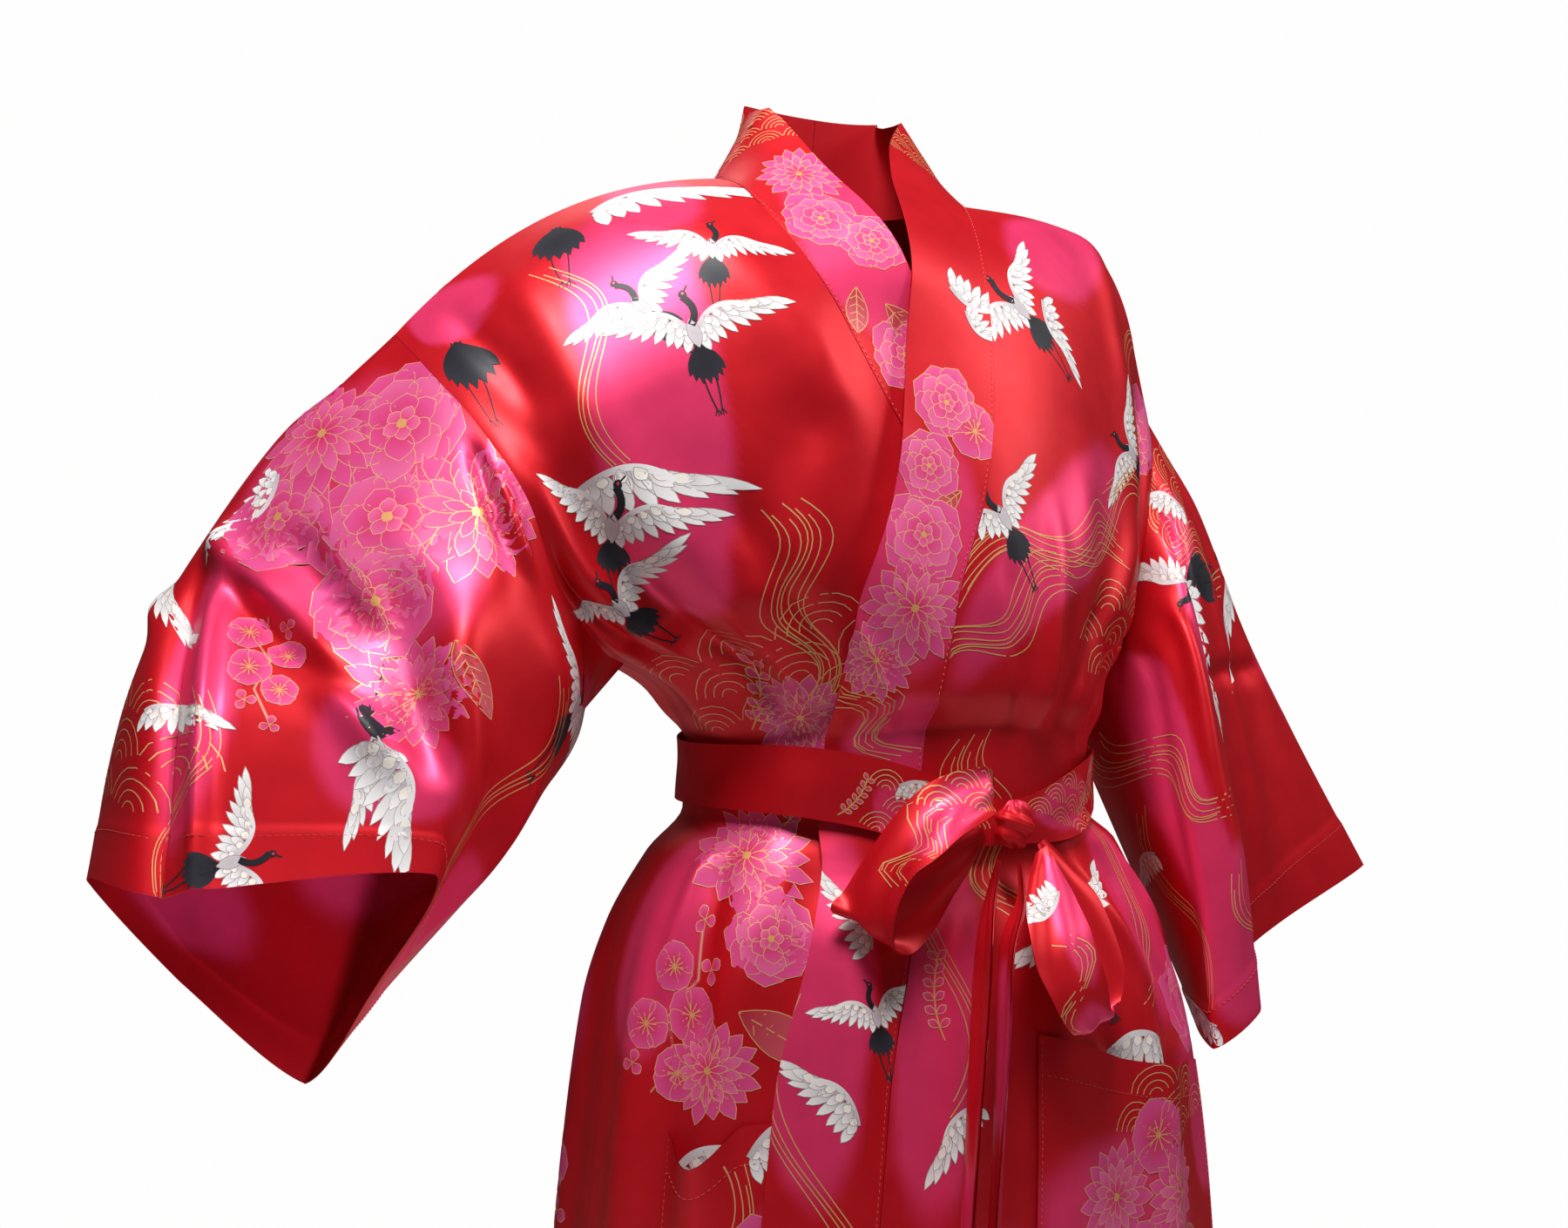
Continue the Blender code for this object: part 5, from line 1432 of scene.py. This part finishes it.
def faces_out(points, faces, normals):
    """The same faces, each turned so that it faces the way of its points' normals."""
    wrong = (crossed_diagonals(points, faces) * normals[faces].sum(axis=1)).sum(-1) < 0
    faces = faces.copy()
    faces[wrong] = faces[wrong][:, ::-1]
    return faces


def joined(meshes):
    """Several meshes as one, each a row of arrays: its points, its faces and whatever they carry."""
    starts = np.cumsum([0] + [len(mesh[0]) for mesh in meshes])
    moved_on = [(points, faces + start, *rest) for start, (points, faces, *rest) in zip(starts, meshes)]
    return [np.concatenate(arrays) for arrays in zip(*moved_on)]


def linked(name, data):
    made = bpy.data.objects.new(name, data)
    bpy.context.scene.collection.objects.link(made)
    return made


def new_mesh(name, points, faces, materials):
    mesh = bpy.data.meshes.new(name)
    mesh.from_pydata(points.tolist(), [], faces)
    for material in materials:
        mesh.materials.append(material)
    return mesh


def paint(mesh, dye):
    """Gives each point its dye: how pink the silk is, and how far along its motif an ink is."""
    layer = mesh.color_attributes.new("dye", "FLOAT_COLOR", "POINT")
    full = np.concatenate([dye, np.ones((len(dye), 1))], axis=1)
    layer.data.foreach_set("color", full.astype(np.float32).reshape(-1))
    mesh.shade_smooth()


def silk_object(name, points, faces, slots, dye, normals):
    """A mesh of quads with a slot for each face and a dye and a normal for each point."""
    mesh = new_mesh(name, points, faces.tolist(), SATIN)
    mesh.polygons.foreach_set("material_index", slots.astype(np.int32))
    paint(mesh, dye)
    mesh.normals_split_custom_set_from_vertices(normals.tolist())
    made = linked(name, mesh)
    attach(made, "root")
    return made


def print_mesh(part, thickness):
    """A part's print, each ink a little above what it lies on."""
    grids = []
    for ink, grid, tone, level in print_parts(part):
        faces = quads(*tone.shape)
        slots = np.full(len(faces), ink)
        grids.append((grid.reshape(-1, 2), faces, slots, tone.reshape(-1), np.full(tone.size, level)))
    flat, faces, slots, tone, level = joined(grids)
    points, normals = carried(part, flat)
    keep = np.linalg.norm(crossed_diagonals(points, faces), axis=-1) > SMALLEST_FACE
    faces, slots = faces[keep], slots[keep]
    points = points + normals * (thickness / 2 + INK_LIFT + INK_STEP * level)[:, None]
    used, back = np.unique(faces, return_inverse=True)
    faces = back.reshape(-1, 4)
    points, normals, tone = points[used], normals[used], tone[used]
    dye = np.stack([0 * tone, tone, 0 * tone], -1)
    return points, faces_out(points, faces, normals), slots, dye, normals


def cloth_object(name, parts, thickness, reverse_inside):
    """A thin closed cloth: the parts' points welded, and a face on each side of them."""
    sheets = []
    for part in parts:
        flat, faces = flat_grid(part)
        points, normals = carried(part, flat)
        sheets.append((points, faces, normals, cloud_at(part.clouds, *flat.T)))
    points, faces, normals, cloud = joined(sheets)
    key = np.round(points / WELD).astype(np.int64)
    _, index, back = np.unique(key, axis=0, return_index=True, return_inverse=True)
    back = back.reshape(-1)
    summed = np.zeros((len(index), 3))
    np.add.at(summed, back, normals)
    points, normals, cloud, faces = points[index], unit(summed), cloud[index], back[faces]
    faces = faces_out(points, faces, normals)
    n = len(points)
    edges = border_edges(faces)
    rim = np.stack([edges[:, 1], edges[:, 0], edges[:, 0] + n, edges[:, 1] + n], -1)
    both = np.concatenate([points + normals * thickness / 2, points - normals * thickness / 2])
    solid = np.concatenate([faces, faces[:, ::-1] + n, rim])
    slots = np.zeros(len(solid), int)
    slots[len(faces) : 2 * len(faces)] = len(INKS) if reverse_inside else 0
    dye = np.zeros((2 * n, 3))
    dye[:, 0] = np.concatenate([cloud, cloud])
    return silk_object(name, both, solid, slots, dye, np.concatenate([normals, -normals]))


def cloth_piece(node, slot, parts, thickness, reverse_inside=True, **facts):
    """A piece of cloth with its print, in place of its solid."""
    piece = cloth_object("silk_" + node, parts, thickness, reverse_inside)
    printed = joined([print_mesh(part, thickness) for part in parts])
    silk_object("silk_" + node + "_print", *printed)
    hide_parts(node)


def from_axis(points):
    """The way out from the body's middle."""
    return points * (1, 1, 0) - (*BODY_MIDDLE, 0)


def from_ring(surface):
    """The way out from a sleeve's middle line."""
    around = np.linspace(-SLEEVE_GIRTH / 2, SLEEVE_GIRTH / 2, 40)
    stations = np.linspace(0, SLEEVE_LENGTH, 20)
    middles = np.array([surface(around, np.full(40, at)).mean(axis=0) for at in stations])

    def away(points):
        near = ((points[:, None] - middles[None]) ** 2).sum(-1).argmin(axis=1)
        return points - middles[near]

    return away


# The pieces, each with its cloth's flat size


SIDES = ("right", "left")
FRONT_AREA = {"right": 0.46, "left": 0.53}
BACK_AREA = 0.86
BACK_WIDTH = 0.72
BAND_LENGTH = 1.48
BELT_LENGTH = 0.82
POCKET_FLAT_WIDTH = {"right": 0.15, "left": 0.21}
POCKET_FLAT_DEPTH = 0.18
BOW_SHOWN = {
    "bow_loop_right": "folded",
    "bow_loop_left": "folded",
    "belt_tail_left": "hung",
    "belt_tail_right": "hung",
}


def body_pieces():
    for side in SIDES:
        node = "front_" + side
        drawn = [on_front(side, *row) for row in FRONT_PRINT[side]]
        across = (GAP, PANEL_WIDTH - GAP)
        part = Part(front_surface(side), drawn, across, (GAP, HEM_V), "front", node, from_axis)
        flat = (PANEL_WIDTH, HEM_V)
        cloth_piece(node, "silk_body", [part], CLOTH, flat=flat, held="draped", area=FRONT_AREA[side])
    across = (-PANEL_WIDTH + GAP, PANEL_WIDTH - GAP)
    part = Part(back_surface, BACK_PRINT, across, (GAP, HEM_V), "back", "back", from_axis)
    cloth_piece("back", "silk_body", [part], CLOTH, flat=(BACK_WIDTH, HEM_V), held="draped", area=BACK_AREA)


def sleeve_pieces():
    for side in SIDES:
        node = "sleeve_" + side
        surface = sleeve_surface(side)
        across, down = (-SLEEVE_GIRTH / 2, SLEEVE_GIRTH / 2), (GAP, SLEEVE_LENGTH)
        part = Part(surface, SLEEVE_PRINT[side], across, down, "sleeve", node, from_ring(surface))
        cloth_piece(node, "silk_sleeves", [part], CLOTH, flat=(SLEEVE_GIRTH, SLEEVE_LENGTH), held="draped")


def trim_pieces():
    for side in SIDES:
        node = "collar_" + side
        across, down = (GAP, BAND_WIDTH), (-NECK_HALF + GAP, HEM_V)
        part = Part(band_surface(side), BAND_PRINT[side], across, down, "collar", node, from_axis)
        cloth_piece(node, "silk_collar", [part], DOUBLE_CLOTH, flat=(BAND_WIDTH, BAND_LENGTH), held="folded")
        node = "pocket_" + side
        across, down = (0, POCKET_WIDTH[side]), (0, POCKET_DEPTH)
        part = Part(pocket_surface(side), POCKET_PRINT[side], across, down, "pocket", node, from_axis)
        flat = (POCKET_FLAT_WIDTH[side], POCKET_FLAT_DEPTH)
        cloth_piece(node, "silk_pockets", [part], CLOTH, flat=flat, held="draped")


def belt_pieces():
    across = (-BELT_WIDTH / 2, BELT_WIDTH / 2)
    round_body = (-BELT_HALF, BELT_HALF)
    parts = []
    for face in ("front", "back"):
        clouds = "belt_" + face
        drawn = BELT_PRINT[face]
        parts.append(Part(belt_surface(face), drawn, round_body, across, "belt", clouds, from_axis))
    flat = (BELT_WIDTH, BELT_LENGTH)
    cloth_piece("belt", "silk_belt", parts, DOUBLE_CLOTH, False, flat=flat, held="folded")
    for name, shown in BOW_SHOWN.items():
        surface, length = bow_surface(name)
        part = Part(surface, BOW_PRINT[name], across, (0, length), "bow", name, from_axis)
        flat = (BELT_WIDTH, round(length, 3))
        cloth_piece(name, "silk_belt", [part], DOUBLE_CLOTH, False, flat=flat, held=shown)


KNOT_GRID = (40, 56)
KNOT_WELD = 1e-6
KNOT_PINK_FROM = (-0.42, -0.41)
KNOT_PINK = 0.6
KNOT_TURN = 0.10
KNOT_GROOVE = 0.07
KNOT_GATHER = 0.045
KNOT_SWELL = 0.92


def knot_piece():
    """The knot: the belt wrapped round itself, pinched at its sides, with its turns as soft ridges."""
    rows, columns = KNOT_GRID
    t = np.linspace(0, math.pi, rows)[:, None]
    s = np.linspace(0, 2 * math.pi, columns, endpoint=False)[None]
    x, y, z = np.sin(t) * np.cos(s), np.sin(t) * np.sin(s), np.cos(t) + 0 * s
    low, high = (np.array(corner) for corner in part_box("knot"))
    middle, half = (low + high) / 2, (high - low) / 2
    slant = z + 0.35 * x
    groove = np.exp(-(((slant - 0.15) / KNOT_GROOVE) ** 2))
    turns = KNOT_TURN * np.sin(slant * 7.0 + 0.8) - KNOT_GROOVE * groove
    gathers = KNOT_GATHER * np.sin(8 * s + 5 * z) * np.abs(z) ** 1.5
    swell = KNOT_SWELL + turns * np.sin(t) ** 0.5 + gathers
    points = np.stack([x * half[0], y * half[1], z * half[2]], -1) * swell[..., None] + middle
    faces = quads(rows, columns, closed=True).tolist()
    mesh = new_mesh("silk_knot", points.reshape(-1, 3), faces, SATIN[:1])
    weld(mesh)
    height = np.array([vertex.co.z for vertex in mesh.vertices])
    pink = ease(*KNOT_PINK_FROM, height) * KNOT_PINK
    paint(mesh, np.stack([pink, 0 * pink, 0 * pink], -1))
    made = linked("silk_knot", mesh)
    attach(made, "root")
    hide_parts("knot")


def weld(mesh):
    bm = bmesh.new()
    bm.from_mesh(mesh)
    bmesh.ops.remove_doubles(bm, verts=bm.verts, dist=KNOT_WELD)
    bmesh.ops.recalc_face_normals(bm, faces=bm.faces)
    bm.to_mesh(mesh)
    bm.free()


# Stitching: each stitch a short, low, round-backed bar on the cloth


STITCH = 0.0030
STITCH_STEP = 0.0042
THREAD = 0.00055
STITCH_SUNK = 0.6
STITCH_BACK = np.array([[0.25], [0.9], [0.25]])
LINE_POINTS = 2000
SEAM_EDGE = 0.0022
HEM_EDGE = 0.0015
POCKET_FOLD = 0.024


def thread_material():
    material, tree, shader = new_material("thread")
    twist = add(tree, "TexNoise", "Fac", {"Scale": 900.0})
    color = ramp(tree, twist, (0.42, 0.02, 0.02, 1), (0.80, 0.10, 0.06, 1))
    fill(tree, shader, {"Base Color": color, "Roughness": 0.5})
    return material


THREAD_MATERIAL = thread_material()


def read_along(values, run, at):
    return np.stack([np.interp(at, run, values[:, k]) for k in range(3)], -1)


def stitches(name, lines):
    """Rows of stitches along lines, each (surface, p points, q points, outward, lift)."""
    points, faces = [], []
    for surface, p, q, outside, lift in lines:
        dense = np.linspace(0, 1, LINE_POINTS)
        share = np.linspace(0, 1, len(p))
        dense_p, dense_q = np.interp(dense, share, p), np.interp(dense, share, q)
        line, normals = facing(surface, outside, dense_p, dense_q, 0.001)
        run = np.concatenate([[0], np.cumsum(np.linalg.norm(np.diff(line, axis=0), axis=1))])
        for start in np.arange(0, run[-1] - STITCH, STITCH_STEP):
            at = start + np.array([0, STITCH / 2, STITCH])
            spots, ups = read_along(line, run, at), unit(read_along(normals, run, at))
            side = unit(np.cross(unit(spots[2] - spots[0]), ups)) * THREAD / 2
            low, high = spots + ups * lift * STITCH_SUNK, spots + ups * (lift + THREAD * STITCH_BACK)
            base = 9 * len(points)
            points.append(np.stack([low - side, high, low + side], 1).reshape(9, 3))
            for b in (base, base + 3):
                faces += [(b, b + 1, b + 4, b + 3), (b + 1, b + 2, b + 5, b + 4), (b + 2, b, b + 3, b + 5)]
            faces += [(base, base + 2, base + 1), (base + 6, base + 7, base + 8)]
    mesh = new_mesh(name, np.concatenate(points), faces, [THREAD_MATERIAL])
    mesh.shade_smooth()
    made = linked(name, mesh)
    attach(made, "root")


def sewing():
    hem_q = SLEEVE_LENGTH - HEM_FOLD + HEM_EDGE
    for side in SIDES:
        sleeve = sleeve_surface(side)
        around = np.linspace(-SLEEVE_GIRTH / 2, SLEEVE_GIRTH / 2, 60)
        line = (sleeve, around, np.full(60, hem_q), from_ring(sleeve), CLOTH / 2)
        stitches("stitches_sleeve_" + side, [line])
        down = np.linspace(-NECK_HALF, HEM_V, 200)
        line = (band_surface(side), np.full(200, SEAM_EDGE), down, from_axis, DOUBLE_CLOTH / 2)
        stitches("stitches_collar_" + side, [line])
        pocket = pocket_surface(side)
        width = POCKET_WIDTH[side]
        across = np.linspace(0.002, width - 0.002, 40)
        edge = np.linspace(0.003, POCKET_DEPTH - 0.002, 40)
        ways = (
            (across, np.full(40, POCKET_FOLD)),
            (np.full(40, SEAM_EDGE), edge),
            (np.full(40, width - SEAM_EDGE), edge),
            (across, np.full(40, POCKET_DEPTH - SEAM_EDGE)),
        )
        lines = [(pocket, p, q, from_axis, CLOTH / 2) for p, q in ways]
        stitches("stitches_pocket_" + side, lines)


# The studio: a pale floor, a pale world that lights little, and the lights


FLOOR_RADIUS = 1.85
FLOOR_BELOW = 0.002
AMBIENT = 0.055
# Columns: the light's name, its place, where it aims, its sizes, its power and its spread
LIGHTS = (
    ("key", (-0.55, -0.78, 1.55), (0.0, 0.0, -0.15), (0.7, 0.7), 62.0, math.pi),
    ("side", (1.5, -0.9, 0.9), (0.1, 0.0, -0.25), (0.4, 1.0), 14.0, math.pi),
    ("low", (-0.9, -1.5, -1.15), (-0.47, -0.05, -0.61), (0.2, 0.2), 0.30, math.radians(18)),
    ("back", (0.4, 2.0, 1.6), (0.0, 0.0, -0.3), (1.2, 1.0), 9.0, math.pi),
)


def studio():
    middle = (0, 0, cad_box[0][2] - FLOOR_BELOW)
    bpy.ops.mesh.primitive_circle_add(vertices=96, radius=FLOOR_RADIUS, fill_type="NGON", location=middle)
    floor = bpy.context.object
    floor.name = "floor"
    material, tree, shader = new_material("floor_paint")
    fill(tree, shader, {"Base Color": (0.86, 0.85, 0.85, 1), "Roughness": 0.8})
    floor.data.materials.append(material)
    world = bpy.data.worlds.new("studio")
    bpy.context.scene.world = world
    world.use_nodes = True
    tree = world.node_tree
    seen = add(tree, "LightPath", "Is Camera Ray", {})
    strength = add(tree, "MapRange", "Result", {"To Min": AMBIENT, "To Max": 1.0, "Value": seen})
    fill(tree, tree.nodes["Background"], {"Color": (1.0, 0.99, 0.99, 1), "Strength": strength})
    for name, place, aim, size, power, spread in LIGHTS:
        light = bpy.data.lights.new(name, "AREA")
        light.shape = "RECTANGLE"
        light.size, light.size_y = size
        light.energy = power
        light.spread = spread
        lamp = linked(name, light)
        lamp.location = place
        lamp.rotation_mode = "QUATERNION"
        lamp.rotation_quaternion = (Vector(aim) - Vector(place)).to_track_quat("-Z", "Y")


# The camera, from the picture's own size and the place of the body's middle line in it
FRAME_WIDTH = 1800
FOCAL_PX = 2475
AXIS_PX = 972
VIEW_TURN = math.radians(30)
DISTANCE = 1.5
HEIGHT = -0.297
ROLL = math.radians(1.5)
SENSOR = 36.0


def camera():
    forward = Vector((math.sin(VIEW_TURN), math.cos(VIEW_TURN), 0))
    right = Vector((math.cos(VIEW_TURN), -math.sin(VIEW_TURN), 0))
    data = bpy.data.cameras.new("camera")
    data.sensor_width = SENSOR
    data.lens = FOCAL_PX / FRAME_WIDTH * SENSOR
    made = bpy.data.objects.new("camera", data)
    bpy.context.scene.collection.objects.link(made)
    place = -DISTANCE * forward - right * ((AXIS_PX - FRAME_WIDTH / 2) / FOCAL_PX * DISTANCE)
    made.location = place + Vector((0, 0, HEIGHT))
    level = Matrix((right, Vector((0, 0, 1)), -forward)).transposed()
    made.rotation_mode = "QUATERNION"
    made.rotation_quaternion = (level @ Matrix.Rotation(ROLL, 3, "Z")).to_quaternion()
    bpy.context.scene.camera = made


body_pieces()
sleeve_pieces()
trim_pieces()
belt_pieces()
knot_piece()
sewing()
studio()
camera()
bpy.context.scene.view_settings.view_transform = "Standard"
